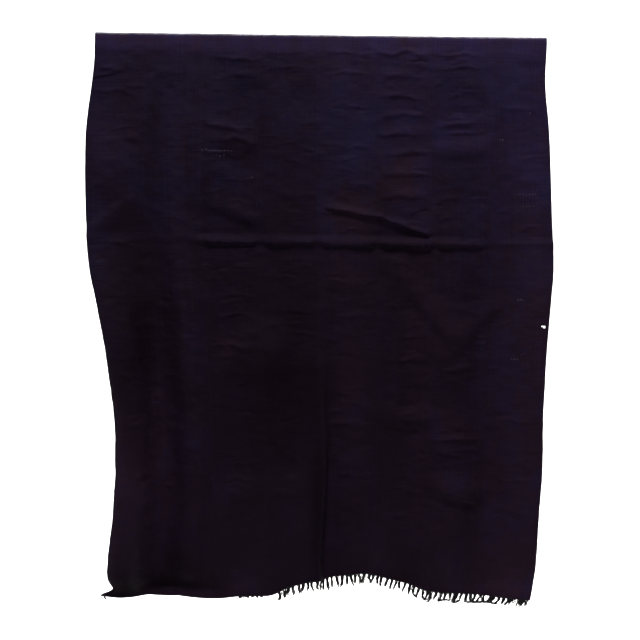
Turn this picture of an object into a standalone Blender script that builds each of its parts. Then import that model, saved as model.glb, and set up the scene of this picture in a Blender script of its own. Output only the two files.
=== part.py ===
"""Indigo mud cloth: eight narrow woven strips sewn side by side, hung over a bar.

Frame: metres, +Z up, +X to the right of someone facing the cloth, and the front faces -Y.
The origin is where the fold bears on the bar, at the middle of the cloth's width.
The cloth runs from the front hem up over the fold and down a short tail behind.
"""
import math
from collections import namedtuple

import bmesh
import bpy
import numpy as np

# Cloth
CLOTH_THICKNESS = 0.0012
FRONT_DROP = 1.255
TAIL_DROP = 0.315
SEAM_GAP = 0.0007
HEM_GAP = 0.0006

# Bar that the fold bears on, not built
BAR_RADIUS = 0.0125
FOLD_RADIUS = BAR_RADIUS + CLOTH_THICKNESS / 2
TOP_LINE = CLOTH_THICKNESS

# Mesh
CELLS_ACROSS_STRIP = 4
FRONT_ROW_PITCH = 0.030
HEM_ROW_PITCH = 0.0125
ARC_ROWS = 8
TAIL_ROW_PITCH = 0.055
SAMPLES_ACROSS = 800
HEM_ROWS_FROM = 1.155
PRESSED_FOLD_ROWS = [0.494, 0.478, 0.465, 0.451, 0.434]

# Fringe
BAND_HEIGHT = 0.007
LOCK_ROOT = 0.0060
LOCK_TIP = 0.0040
LOCKS_PER_STRIP = 12
LOCK_SEGMENTS = 3
# Clearance between a lock's root and the nearest column of the band
ROOT_CLEAR = 0.0008
# Unevenness of the locks: their shift as a share of their spacing, the rest of their length
LOCK_SHIFT = 0.12
LOCK_SHORTER = 0.28
LOCK_LEAN = 0.14
LOCK_FORWARD = 0.22

# The hem's unevenness is taken up between this drop and the hem
HEM_EASE_FROM = 0.858

# How far the tables' corners are rounded: along an edge and along the hem
EDGE_ROUNDING = 0.040
HEM_ROUNDING = 0.015
ROUNDING_STEPS = 7

# Woven width of each strip, left to right
STRIP_WIDTHS = (0.132, 0.126, 0.126, 0.131, 0.132, 0.124, 0.129, 0.136)
STRIP_STARTS = [sum(STRIP_WIDTHS[:number]) for number in range(len(STRIP_WIDTHS) + 1)]
CLOTH_WIDTH = STRIP_STARTS[-1]

# Side edges as they hang: drop below the top line, X of the left and of the right edge
Edge = namedtuple("Edge", "drop left right")
EDGES = (
    Edge(0.000, -0.501, 0.506),
    Edge(0.048, -0.498, 0.505),
    Edge(0.108, -0.504, 0.501),
    Edge(0.208, -0.517, 0.513),
    Edge(0.308, -0.518, 0.517),
    Edge(0.408, -0.515, 0.520),
    Edge(0.508, -0.508, 0.526),
    Edge(0.608, -0.484, 0.517),
    Edge(0.708, -0.458, 0.508),
    Edge(0.858, -0.436, 0.500),
    Edge(0.958, -0.434, 0.500),
    Edge(1.068, -0.435, 0.491),
    Edge(1.188, -0.450, 0.486),
    Edge(1.255, -0.442, 0.472),
    Edge(1.308, -0.436, 0.460),
)

# Front hem as it hangs: place across the woven width, drop below the top line
Hem = namedtuple("Hem", "across drop")
HEM = (
    Hem(0.000, 1.246),
    Hem(0.100, 1.247),
    Hem(0.150, 1.251),
    Hem(0.190, 1.250),
    Hem(0.262, 1.255),
    Hem(0.340, 1.251),
    Hem(0.408, 1.247),
    Hem(0.434, 1.231),
    Hem(0.485, 1.216),
    Hem(0.550, 1.206),
    Hem(0.634, 1.193),
    Hem(0.680, 1.206),
    Hem(0.740, 1.222),
    Hem(0.776, 1.234),
    Hem(0.880, 1.240),
    Hem(0.970, 1.243),
    Hem(1.036, 1.243),
)

# Folds: a ridge along the line from start to end, or a valley where its height is below zero.
# before and after are its half widths: left and right of a fold that runs down,
# below and above one that runs across. fade_in and fade_out are the shares of its length
# over which it rises and dies away.
Fold = namedtuple("Fold", "what start end before after height fade_in fade_out")
DOWN_FOLDS = (
    Fold("left edge coming forward", (0.026, 0.408), (0.020, 1.408), 0.10, 0.120, 0.052, 0.36, 0.05),
    Fold("valley at the first seam", (0.130, 0.038), (0.150, 1.348), 0.10, 0.07, -0.015, 0.60, 0.15),
    Fold("shoulder of strip 2", (0.235, 0.068), (0.215, 1.258), 0.08, 0.05, 0.013, 0.45, 0.15),
    Fold("trough of strip 3", (0.300, 0.458), (0.330, 1.348), 0.05, 0.07, -0.009, 0.40, 0.10),
    Fold("belly of strips 3 and 4", (0.300, 0.668), (0.460, 0.728), 0.11, 0.09, 0.014, 0.35, 0.30),
    Fold("pressed centre fold", (0.509, 0.528), (0.508, 1.408), 0.09, 0.030, 0.013, 0.55, 0.01),
    Fold("trough right of the centre", (0.545, 0.508), (0.548, 1.368), 0.03, 0.06, -0.006, 0.50, 0.01),
    Fold("roll at seam 5 to 6", (0.640, 0.108), (0.632, 1.368), 0.08, 0.07, 0.011, 0.55, 0.05),
    Fold("trough of strip 6", (0.720, 0.428), (0.742, 1.368), 0.05, 0.06, -0.010, 0.45, 0.05),
    Fold("roll of strip 7", (0.815, 0.128), (0.832, 1.368), 0.07, 0.06, 0.010, 0.55, 0.05),
    Fold("valley beside strip 8", (0.908, 0.208), (0.912, 1.368), 0.06, 0.07, -0.005, 0.50, 0.05),
    Fold("right edge coming forward", (1.030, 0.308), (1.030, 1.408), 0.12, 0.06, 0.030, 0.70, 0.05),
    Fold("pinch under the bar, strip 3", (0.262, 0.038), (0.262, 0.468), 0.05, 0.04, 0.004, 0.30, 0.40),
    Fold("pinch under the bar, strip 7", (0.900, 0.038), (0.905, 0.428), 0.06, 0.05, 0.005, 0.30, 0.40),
)
CROSS_FOLDS = (
    Fold("pressed fold at mid length", (-0.30, 0.462), (1.30, 0.466), 0.018, 0.022, 0.002, 0.10, 0.10),
    Fold("pressed fold, strips 3 to 7", (0.22, 0.463), (0.90, 0.466), 0.018, 0.022, 0.004, 0.08, 0.15),
    Fold("slanting crease, strips 5 and 6", (0.520, 0.378), (0.780, 0.448), 0.018, 0.022, 0.004, 0.20, 0.12),
    Fold("sag above the crease, strip 1", (0.15, 0.333), (-0.03, 0.478), 0.030, 0.050, 0.006, 0.30, 0.20),
    Fold("bulge of strip 3, high", (0.25, 0.228), (0.40, 0.268), 0.035, 0.060, 0.006, 0.30, 0.30),
    Fold("bulge of strip 3, low", (0.25, 0.368), (0.40, 0.428), 0.030, 0.045, 0.006, 0.30, 0.30),
    Fold("swag left, strip 6", (0.64, 0.478), (0.85, 0.708), 0.035, 0.055, 0.006, 0.30, 0.20),
    Fold("swag right, strip 7", (0.78, 0.748), (0.94, 0.568), 0.035, 0.055, 0.004, 0.20, 0.30),
    Fold("bulge of strip 7, high", (0.76, 0.173), (0.92, 0.158), 0.035, 0.050, -0.006, 0.30, 0.30),
    Fold("bulge of strip 7, middle", (0.76, 0.263), (0.92, 0.253), 0.035, 0.040, 0.006, 0.30, 0.30),
    Fold("hang of strip 6, low", (0.62, 0.848), (0.80, 0.858), 0.030, 0.050, 0.006, 0.30, 0.30),
    Fold("bulge of strip 7, low", (0.75, 0.998), (0.93, 1.028), 0.035, 0.060, 0.009, 0.30, 0.30),
    Fold("bulge of strips 3 and 4, low", (0.26, 1.028), (0.50, 1.008), 0.050, 0.070, 0.007, 0.30, 0.30),
    Fold("hem tucked back, left", (-0.10, 1.246), (0.34, 1.228), 0.026, 0.046, -0.013, 0.20, 0.40),
    Fold("hem lip kicked forward, left", (-0.10, 1.285), (0.33, 1.275), 0.060, 0.045, 0.014, 0.15, 0.35),
    Fold("hem tucked back, right", (0.62, 1.198), (0.95, 1.243), 0.060, 0.070, -0.010, 0.35, 0.30),
)

# Folds are at full height by this drop, and valleys reach back only below the tail.
# The front hangs this much further forward a metre, so no valley crosses under the bar.
FOLDS_START_BY = 0.06
VALLEYS_DEEPEN_OVER = 0.16
FRONT_LEAN = 0.0145

# Looks of each strip: violet-black indigo, a little bluer or redder from strip to strip
STRIP_COLOURS = (
    (0.011, 0.0065, 0.0150),
    (0.012, 0.0068, 0.0160),
    (0.010, 0.0062, 0.0135),
    (0.0095, 0.0060, 0.0130),
    (0.011, 0.0070, 0.0165),
    (0.012, 0.0068, 0.0150),
    (0.0105, 0.0070, 0.0150),
    (0.012, 0.0082, 0.0180),
)
FRINGE_COLOUR = (0.014, 0.010, 0.0165)
CLOTH_ROUGHNESS = 0.72
FRINGE_ROUGHNESS = 0.9

# Fringed strips: share of the strip's width where the locks start, longest lock and how
# far the locks lean to the right for their length
Fringe = namedtuple("Fringe", "strip locks_from length lean")
FRINGES = (
    Fringe(3, 0.50, 0.007, 0.0),
    Fringe(4, 0.24, 0.023, 0.0),
    Fringe(5, 0.00, 0.029, -0.05),
    Fringe(6, 0.00, 0.028, 0.22),
    Fringe(7, 0.00, 0.026, 0.12),
    Fringe(8, 0.00, 0.021, 0.20),
)
FRINGED_STRIPS = [fringe.strip for fringe in FRINGES]


def smooth_step(value, low, high):
    """Rises softly from 0 at low to 1 at high."""
    share = np.clip((value - low) / (high - low), 0.0, 1.0)
    return share * share * (3.0 - 2.0 * share)


def fold_height(fold, across, drop, runs_down):
    """How far one fold stands towards the front at each point of the cloth."""
    run = np.subtract(fold.end, fold.start)
    length = math.hypot(*run)
    run = run / length
    from_start = (across - fold.start[0], drop - fold.start[1])
    along = (from_start[0] * run[0] + from_start[1] * run[1]) / length
    aside = from_start[0] * run[1] - from_start[1] * run[0]
    half_width = np.where(aside < 0.0, fold.before, fold.after)
    profile = 0.5 + 0.5 * np.cos(np.pi * np.clip(aside / half_width, -1.0, 1.0))
    if not runs_down:
        profile = profile ** 1.5
    rise = smooth_step(along, 0.0, fold.fade_in)
    fall = smooth_step(1.0 - along, 0.0, fold.fade_out)
    return fold.height * profile * rise * fall


def settled(relief, drop):
    """Lets folds start under the bar, valleys only below the tail, on a front that leans."""
    below_tail = smooth_step(drop, TAIL_DROP + 0.01, TAIL_DROP + VALLEYS_DEEPEN_OVER)
    relief = np.maximum(relief, 0.0) + np.minimum(relief, 0.0) * below_tail
    relief = relief * smooth_step(drop, FOLD_RADIUS, FOLDS_START_BY)
    return relief + FRONT_LEAN * np.maximum(drop - FOLDS_START_BY, 0.0)


def front_relief(across, drop):
    """How far the cloth stands in front of its plain hanging plane, and its slope across.

    Only the folds that run down take up the cloth's width, so the slope is theirs alone.
    """
    down = sum(fold_height(fold, across, drop, True) for fold in DOWN_FOLDS)
    cross = sum(fold_height(fold, across, drop, False) for fold in CROSS_FOLDS)
    return settled(down + cross, drop), np.gradient(settled(down, drop), across)


def soft_line(at, places, values, reach):
    """A line through a table's values, its corners rounded over the reach on either side."""
    offsets = np.linspace(-reach, reach, ROUNDING_STEPS)
    return sum(np.interp(at + offset, places, values) for offset in offsets) / ROUNDING_STEPS


def edge_x(drop):
    """X of the left and the right edge at a drop below the top line."""
    drops = [edge.drop for edge in EDGES]
    left = soft_line(drop, drops, [edge.left for edge in EDGES], EDGE_ROUNDING)
    right = soft_line(drop, drops, [edge.right for edge in EDGES], EDGE_ROUNDING)
    return left, right


def hem_drop(across):
    """Drop of the front hem below the top line."""
    places = [point.across for point in HEM]
    return soft_line(across, places, [point.drop for point in HEM], HEM_ROUNDING)


ACROSS = np.linspace(0.0, CLOTH_WIDTH, SAMPLES_ACROSS)
STRAIGHT_TOP = FOLD_RADIUS + CLOTH_THICKNESS / 2


def spread_across(left, right, slope):
    """X of every sample: a steep flank takes less width, so the woven width is kept."""
    taken = np.sqrt(np.clip(1.0 - slope ** 2, 0.1, 1.0))
    steps = 0.5 * (taken[1:] + taken[:-1])
    share = np.concatenate(([0.0], np.cumsum(steps)))
    return left + (right - left) * share / share[-1]


def front_row(drop):
    """X, Y and Z of the samples of a row on the front, at one drop where the hem is longest."""
    ease = smooth_step(drop, HEM_EASE_FROM, FRONT_DROP)
    drops = drop + (hem_drop(ACROSS) - FRONT_DROP) * ease
    relief, slope = front_relief(ACROSS, drops)
    left, right = edge_x(drops)
    x = spread_across(left, right, slope)
    return x, -FOLD_RADIUS - relief, TOP_LINE - drops


def arc_row(angle):
    """A row on the bar: angle 0 is the front side, and half a turn is the back."""
    left, right = edge_x(0.0)
    x = spread_across(left, right, np.zeros_like(ACROSS))
    y = np.full_like(ACROSS, -FOLD_RADIUS * math.cos(angle))
    z = np.full_like(ACROSS, TOP_LINE - STRAIGHT_TOP + FOLD_RADIUS * math.sin(angle))
    return x, y, z


def tail_row(drop):
    """A row of the plain tail behind the bar."""
    left, right = edge_x(0.0)
    x = spread_across(left, right, np.zeros_like(ACROSS))
    return x, np.full_like(ACROSS, FOLD_RADIUS), np.full_like(ACROSS, TOP_LINE - drop)


def stepped(start, end, pitch):
    """Values from start to end in even steps of about the pitch."""
    return list(np.linspace(start, end, max(2, round(abs(end - start) / pitch) + 1)))


def front_drops():
    """Drops of the front rows, closer together at the pressed fold and at the hem."""
    drops = stepped(FRONT_DROP, HEM_ROWS_FROM, HEM_ROW_PITCH)
    drops += stepped(HEM_ROWS_FROM, PRESSED_FOLD_ROWS[0], FRONT_ROW_PITCH)[1:]
    drops += PRESSED_FOLD_ROWS[1:-1]
    drops += stepped(PRESSED_FOLD_ROWS[-1], STRAIGHT_TOP, FRONT_ROW_PITCH)
    return drops


def cloth_rows():
    """All rows of the cloth, from the front hem over the fold to the end of the tail."""
    rows = [front_row(drop) for drop in front_drops()]
    rows += [arc_row(math.pi * step / ARC_ROWS) for step in range(1, ARC_ROWS)]
    rows += [tail_row(drop) for drop in stepped(STRAIGHT_TOP, TAIL_DROP, TAIL_ROW_PITCH)]
    return rows


def point_on(row, across):
    """The point of a row at one place across the woven width."""
    return tuple(float(np.interp(across, ACROSS, values)) for values in row)


def new_material(name, colour, roughness):
    """A plain cloth finish."""
    material = bpy.data.materials.new(name)
    material.use_nodes = True
    shader = material.node_tree.nodes["Principled BSDF"]
    shader.inputs["Base Color"].default_value = (*colour, 1.0)
    shader.inputs["Roughness"].default_value = roughness
    shader.inputs["Metallic"].default_value = 0.0
    return material


def solid_from_sheet(name, sheet, material):
    """Makes an object of a single-layer sheet and gives the sheet its thickness."""
    mesh = bpy.data.meshes.new(name)
    sheet.to_mesh(mesh)
    sheet.free()
    mesh.shade_smooth()
    mesh.materials.append(material)
    solid = bpy.data.objects.new(name, mesh)
    bpy.context.collection.objects.link(solid)
    thickness = solid.modifiers.new("cloth thickness", "SOLIDIFY")
    thickness.thickness = CLOTH_THICKNESS
    thickness.offset = 0.0
    return solid


def strip_span(number):
    """Where one strip starts and ends across the woven width, less its half of the seam gaps."""
    start = STRIP_STARTS[number - 1]
    end = STRIP_STARTS[number]
    if number > 1:
        start += SEAM_GAP / 2
    if number < len(STRIP_WIDTHS):
        end -= SEAM_GAP / 2
    return start, end


def strip_places(number):
    """Where the columns of one strip's mesh stand across the woven width."""
    return np.linspace(*strip_span(number), CELLS_ACROSS_STRIP + 1)


def make_panel(number, rows):
    """One woven strip, from its front hem to the end of its tail."""
    places = strip_places(number)
    hem_height = BAND_HEIGHT + HEM_GAP if number in FRINGED_STRIPS else 0.0
    lines = [hem_line(number, hem_height)]
    lines += [[point_on(row, place) for place in places] for row in rows[1:]]
    sheet = bmesh.new()
    grid = [[sheet.verts.new(point) for point in line] for line in lines]
    for lower, upper in zip(grid, grid[1:]):
        for cell in range(CELLS_ACROSS_STRIP):
            sheet.faces.new((lower[cell], lower[cell + 1], upper[cell + 1], upper[cell]))
    colour = STRIP_COLOURS[number - 1]
    material = new_material(f"indigo strip {number}", colour, CLOTH_ROUGHNESS)
    return solid_from_sheet(f"panel_{number}", sheet, material)


def wave(number, pitch):
    """A value from -1 to 1 that changes unevenly from one lock to the next."""
    return math.sin(number * pitch) * math.cos(number * pitch * 0.37 + 1.0)


def hem_line(number, distance):
    """A line across one strip, a distance up the cloth's own slope from its hem."""
    edge_row = front_row(FRONT_DROP)
    row_above = front_row(FRONT_DROP - HEM_ROW_PITCH)
    line = []
    for place in strip_places(number):
        edge = np.array(point_on(edge_row, place))
        up = np.array(point_on(row_above, place)) - edge
        line.append(edge + up * distance / np.linalg.norm(up))
    return np.array(line)


def make_fringe(fringe):
    """A narrow band of the last picks under one strip, with the loose warp ends below it."""
    start, end = strip_span(fringe.strip)
    first = start + (end - start) * fringe.locks_from
    count = max(4, round(LOCKS_PER_STRIP * (end - first) / STRIP_WIDTHS[0]))
    pitch = (end - first) / count
    roots = []
    for lock in range(count):
        middle = first + pitch * (lock + 0.5) + LOCK_SHIFT * pitch * wave(lock + 7 * fringe.strip, 2.3)
        roots.append((middle - LOCK_ROOT / 2, middle + LOCK_ROOT / 2))
    columns = strip_places(fringe.strip)
    places = [start, end] + [place for root in roots for place in root]
    for column in columns[1:-1]:
        if not any(left - ROOT_CLEAR < column < right + ROOT_CLEAR for left, right in roots):
            places.append(column)
    places.sort()
    lock_cells = [places.index(left) for left, _ in roots]
    sheet = bmesh.new()
    levels = []
    for distance in (BAND_HEIGHT, 0.0):
        line = hem_line(fringe.strip, distance)
        points = np.array([np.interp(places, columns, values) for values in line.T]).T
        levels.append([sheet.verts.new(point) for point in points])
    top, foot = levels
    for cell in range(len(places) - 1):
        sheet.faces.new((foot[cell], foot[cell + 1], top[cell + 1], top[cell]))
    for lock, cell in enumerate(lock_cells):
        hang_lock(sheet, foot[cell], foot[cell + 1], fringe, lock)
    material = new_material(f"indigo fringe {fringe.strip}", FRINGE_COLOUR, FRINGE_ROUGHNESS)
    return solid_from_sheet(f"fringe_{fringe.strip}", sheet, material)


def hang_lock(sheet, left, right, fringe, lock):
    """One lock of loose warp ends: it narrows to its tip and leans aside."""
    number = lock + 11 * fringe.strip
    length = fringe.length * (1.0 - LOCK_SHORTER + LOCK_SHORTER * wave(number, 1.7))
    lean = length * (fringe.lean + LOCK_LEAN * wave(number, 0.8))
    forward = LOCK_FORWARD * length * wave(number, 3.7)
    middle = (left.co + right.co) / 2
    side = (right.co - left.co).normalized()
    for segment in range(1, LOCK_SEGMENTS + 1):
        share = segment / LOCK_SEGMENTS
        half = (LOCK_ROOT + (LOCK_TIP - LOCK_ROOT) * share) / 2
        centre = middle.copy()
        centre.x += lean * share ** 1.5
        centre.y -= forward * share ** 2
        centre.z -= length * share
        new_left = sheet.verts.new(centre - side * half)
        new_right = sheet.verts.new(centre + side * half)
        sheet.faces.new((new_left, new_right, right, left))
        left, right = new_left, new_right


def clear_scene():
    """Removes whatever the file starts with."""
    for old in list(bpy.data.objects):
        bpy.data.objects.remove(old, do_unlink=True)


def main():
    clear_scene()
    rows = cloth_rows()
    for number in range(1, len(STRIP_WIDTHS) + 1):
        make_panel(number, rows)
    for fringe in FRINGES:
        make_fringe(fringe)


main()
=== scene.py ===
"""Indigo mud cloth hung over a bar: woven strips, seams, fringe, mending and dye.

Laid out as an add-on: sizes and colours are properties, and each group of pieces has its
own operator. Metres, +Z up, the front of the cloth faces -Y. Places on the cloth are given
as across, the woven width from the left edge, and drop, the length below the top line.
"""
import math
from collections import namedtuple
from functools import lru_cache

import bpy
import numpy as np
from bpy.props import FloatProperty, FloatVectorProperty, IntProperty, PointerProperty
from mathutils import Matrix, Vector


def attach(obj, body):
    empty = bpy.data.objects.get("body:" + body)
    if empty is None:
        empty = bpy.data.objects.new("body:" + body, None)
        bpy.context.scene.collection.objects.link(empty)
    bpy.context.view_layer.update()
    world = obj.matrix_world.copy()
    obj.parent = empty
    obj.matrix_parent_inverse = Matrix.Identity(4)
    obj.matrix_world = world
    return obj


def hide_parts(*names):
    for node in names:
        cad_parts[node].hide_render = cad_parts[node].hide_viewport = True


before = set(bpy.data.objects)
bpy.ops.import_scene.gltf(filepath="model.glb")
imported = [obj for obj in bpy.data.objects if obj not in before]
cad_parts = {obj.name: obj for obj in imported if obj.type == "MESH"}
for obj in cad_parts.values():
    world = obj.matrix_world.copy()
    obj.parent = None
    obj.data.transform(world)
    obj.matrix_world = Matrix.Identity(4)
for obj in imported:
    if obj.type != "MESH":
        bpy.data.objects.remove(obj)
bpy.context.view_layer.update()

bl_info = {
    "name": "Indigo Mud Cloth",
    "version": (1, 0, 0),
    "blender": (4, 5, 0),
    "location": "View3D > Sidebar > Mud Cloth",
    "description": "Hangs a strip-woven indigo cloth with its seams, fringe and mending",
    "category": "Object",
}

# The hanging shape, as the solids have it
CLOTH_THICKNESS = 0.0012
FRONT_DROP = 1.255
TAIL_DROP = 0.315
BAR_RADIUS = 0.0125
FOLD_RADIUS = BAR_RADIUS + CLOTH_THICKNESS / 2
TOP_LINE = CLOTH_THICKNESS
STRAIGHT_TOP = FOLD_RADIUS + CLOTH_THICKNESS / 2
HEM_EASE_FROM = 0.858
EDGE_ROUNDING = 0.040
HEM_ROUNDING = 0.015
ROUNDING_STEPS = 7
FOLDS_START_BY = 0.06
VALLEYS_START_BELOW = 0.01
VALLEYS_DEEPEN_OVER = 0.16
FRONT_LEAN = 0.0145
BAND_HEIGHT = 0.007
# Power that narrows the top of a fold that runs across
CROSS_FOLD_POWER = 1.5
# Least square of the width that a steep flank takes, against its woven width
FLANK_LIMIT = 0.1

# Woven width of each strip, left to right
STRIP_WIDTHS = (0.132, 0.126, 0.126, 0.131, 0.132, 0.124, 0.129, 0.136)
STRIP_STARTS = [sum(STRIP_WIDTHS[:number]) for number in range(len(STRIP_WIDTHS) + 1)]
CLOTH_WIDTH = STRIP_STARTS[-1]
STRIPS = range(1, len(STRIP_WIDTHS) + 1)

Edge = namedtuple("Edge", "drop left right")
EDGES = (
    Edge(0.000, -0.501, 0.506),
    Edge(0.048, -0.498, 0.505),
    Edge(0.108, -0.504, 0.501),
    Edge(0.208, -0.517, 0.513),
    Edge(0.308, -0.518, 0.517),
    Edge(0.408, -0.515, 0.520),
    Edge(0.508, -0.508, 0.526),
    Edge(0.608, -0.484, 0.517),
    Edge(0.708, -0.458, 0.508),
    Edge(0.858, -0.436, 0.500),
    Edge(0.958, -0.434, 0.500),
    Edge(1.068, -0.435, 0.491),
    Edge(1.188, -0.450, 0.486),
    Edge(1.255, -0.442, 0.472),
    Edge(1.308, -0.436, 0.460),
)

Hem = namedtuple("Hem", "across drop")
HEM = (
    Hem(0.000, 1.246),
    Hem(0.100, 1.247),
    Hem(0.150, 1.251),
    Hem(0.190, 1.250),
    Hem(0.262, 1.255),
    Hem(0.340, 1.251),
    Hem(0.408, 1.247),
    Hem(0.434, 1.231),
    Hem(0.485, 1.216),
    Hem(0.550, 1.206),
    Hem(0.634, 1.193),
    Hem(0.680, 1.206),
    Hem(0.740, 1.222),
    Hem(0.776, 1.234),
    Hem(0.880, 1.240),
    Hem(0.970, 1.243),
    Hem(1.036, 1.243),
)

# A ridge along the line from start to end, or a valley where its height is below zero.
# before and after are its half widths: left and right of a fold that runs down,
# below and above one that runs across.
Fold = namedtuple("Fold", "what start end before after height fade_in fade_out")
DOWN_FOLDS = (
    Fold("left edge coming forward", (0.026, 0.408), (0.020, 1.408), 0.10, 0.120, 0.052, 0.36, 0.05),
    Fold("valley at the first seam", (0.130, 0.038), (0.150, 1.348), 0.10, 0.07, -0.015, 0.60, 0.15),
    Fold("shoulder of strip 2", (0.235, 0.068), (0.215, 1.258), 0.08, 0.05, 0.013, 0.45, 0.15),
    Fold("trough of strip 3", (0.300, 0.458), (0.330, 1.348), 0.05, 0.07, -0.009, 0.40, 0.10),
    Fold("belly of strips 3 and 4", (0.300, 0.668), (0.460, 0.728), 0.11, 0.09, 0.014, 0.35, 0.30),
    Fold("pressed centre fold", (0.509, 0.528), (0.508, 1.408), 0.09, 0.030, 0.013, 0.55, 0.01),
    Fold("trough right of the centre", (0.545, 0.508), (0.548, 1.368), 0.03, 0.06, -0.006, 0.50, 0.01),
    Fold("roll at seam 5 to 6", (0.640, 0.108), (0.632, 1.368), 0.08, 0.07, 0.011, 0.55, 0.05),
    Fold("trough of strip 6", (0.720, 0.428), (0.742, 1.368), 0.05, 0.06, -0.010, 0.45, 0.05),
    Fold("roll of strip 7", (0.815, 0.128), (0.832, 1.368), 0.07, 0.06, 0.010, 0.55, 0.05),
    Fold("valley beside strip 8", (0.908, 0.208), (0.912, 1.368), 0.06, 0.07, -0.005, 0.50, 0.05),
    Fold("right edge coming forward", (1.030, 0.308), (1.030, 1.408), 0.12, 0.06, 0.030, 0.70, 0.05),
    Fold("pinch under the bar, strip 3", (0.262, 0.038), (0.262, 0.468), 0.05, 0.04, 0.004, 0.30, 0.40),
    Fold("pinch under the bar, strip 7", (0.900, 0.038), (0.905, 0.428), 0.06, 0.05, 0.005, 0.30, 0.40),
)
CROSS_FOLDS = (
    Fold("pressed fold at mid length", (-0.30, 0.462), (1.30, 0.466), 0.018, 0.022, 0.002, 0.10, 0.10),
    Fold("pressed fold, strips 3 to 7", (0.22, 0.463), (0.90, 0.466), 0.018, 0.022, 0.004, 0.08, 0.15),
    Fold("slanting fold, strips 5 and 6", (0.520, 0.378), (0.780, 0.448), 0.018, 0.022, 0.004, 0.20, 0.12),
    Fold("sag above the crease, strip 1", (0.15, 0.333), (-0.03, 0.478), 0.030, 0.050, 0.006, 0.30, 0.20),
    Fold("bulge of strip 3, high", (0.25, 0.228), (0.40, 0.268), 0.035, 0.060, 0.006, 0.30, 0.30),
    Fold("bulge of strip 3, low", (0.25, 0.368), (0.40, 0.428), 0.030, 0.045, 0.006, 0.30, 0.30),
    Fold("swag left, strip 6", (0.64, 0.478), (0.85, 0.708), 0.035, 0.055, 0.006, 0.30, 0.20),
    Fold("swag right, strip 7", (0.78, 0.748), (0.94, 0.568), 0.035, 0.055, 0.004, 0.20, 0.30),
    Fold("bulge of strip 7, high", (0.76, 0.173), (0.92, 0.158), 0.035, 0.050, -0.006, 0.30, 0.30),
    Fold("bulge of strip 7, middle", (0.76, 0.263), (0.92, 0.253), 0.035, 0.040, 0.006, 0.30, 0.30),
    Fold("hang of strip 6, low", (0.62, 0.848), (0.80, 0.858), 0.030, 0.050, 0.006, 0.30, 0.30),
    Fold("bulge of strip 7, low", (0.75, 0.998), (0.93, 1.028), 0.035, 0.060, 0.009, 0.30, 0.30),
    Fold("bulge of strips 3 and 4, low", (0.26, 1.028), (0.50, 1.008), 0.050, 0.070, 0.007, 0.30, 0.30),
    Fold("hem tucked back, left", (-0.10, 1.246), (0.34, 1.228), 0.026, 0.046, -0.013, 0.20, 0.40),
    Fold("hem lip kicked forward, left", (-0.10, 1.285), (0.33, 1.275), 0.060, 0.045, 0.014, 0.15, 0.35),
    Fold("hem tucked back, right", (0.62, 1.198), (0.95, 1.243), 0.060, 0.070, -0.010, 0.35, 0.30),
)

# Sharp creases: the lips of the pressed fold and of the slanting ones, and hollows that
# flatten the fold above them. before is the reach of the steep side, which lies below a
# line that runs right and right of one that runs up, and after that of the slow side.
SHARP_CREASES = (
    Fold("pressed lip, strip 1", (-0.02, 0.472), (0.135, 0.466), 0.004, 0.010, 0.0006, 0.15, 0.15),
    Fold("pressed lip, strip 2", (0.130, 0.467), (0.262, 0.467), 0.004, 0.010, 0.0003, 0.20, 0.20),
    Fold("pressed lip, strip 3", (0.266, 0.465), (0.382, 0.467), 0.004, 0.010, 0.0034, 0.08, 0.08),
    Fold("pressed lip, strip 4", (0.390, 0.468), (0.510, 0.466), 0.004, 0.009, 0.0024, 0.15, 0.08),
    Fold("pressed lip, strip 5", (0.522, 0.469), (0.645, 0.467), 0.004, 0.010, 0.0030, 0.08, 0.12),
    Fold("pressed lip, strip 6", (0.652, 0.467), (0.770, 0.469), 0.004, 0.011, 0.0036, 0.08, 0.08),
    Fold("pressed lip, strip 7", (0.776, 0.470), (0.896, 0.468), 0.004, 0.009, 0.0024, 0.10, 0.20),
    Fold("pressed lip, strip 8", (0.900, 0.465), (1.050, 0.461), 0.004, 0.010, 0.0010, 0.20, 0.20),
    Fold("flatter fold, strips 1 and 2", (-0.10, 0.463), (0.275, 0.464), 0.018, 0.022, -0.0013, 0.10, 0.10),
    Fold("flatter fold, strips 3 to 5", (0.255, 0.464), (0.655, 0.465), 0.018, 0.022, -0.0012, 0.10, 0.15),
    Fold("slanting lip, upper run", (0.53, 0.386), (0.67, 0.411), 0.004, 0.009, 0.0030, 0.10, 0.10),
    Fold("slanting lip, lower run", (0.64, 0.405), (0.768, 0.448), 0.004, 0.009, 0.0042, 0.12, 0.10),
    Fold("short lip, strip 7, right", (0.800, 1.012), (0.892, 1.037), 0.004, 0.009, 0.0032, 0.12, 0.15),
    Fold("short lip, strip 7, upper", (0.786, 0.925), (0.850, 0.936), 0.004, 0.009, 0.0020, 0.20, 0.25),
    Fold("slant at the left edge, top", (-0.01, 0.106), (0.085, 0.084), 0.004, 0.008, 0.0018, 0.05, 0.40),
    Fold("pressed centre lip, below", (0.514, 1.240), (0.514, 0.840), 0.016, 0.024, 0.0022, 0.02, 0.30),
    Fold("pressed centre lip, above", (0.513, 1.000), (0.514, 0.540), 0.018, 0.020, 0.0012, 0.30, 0.40),
)

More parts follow.
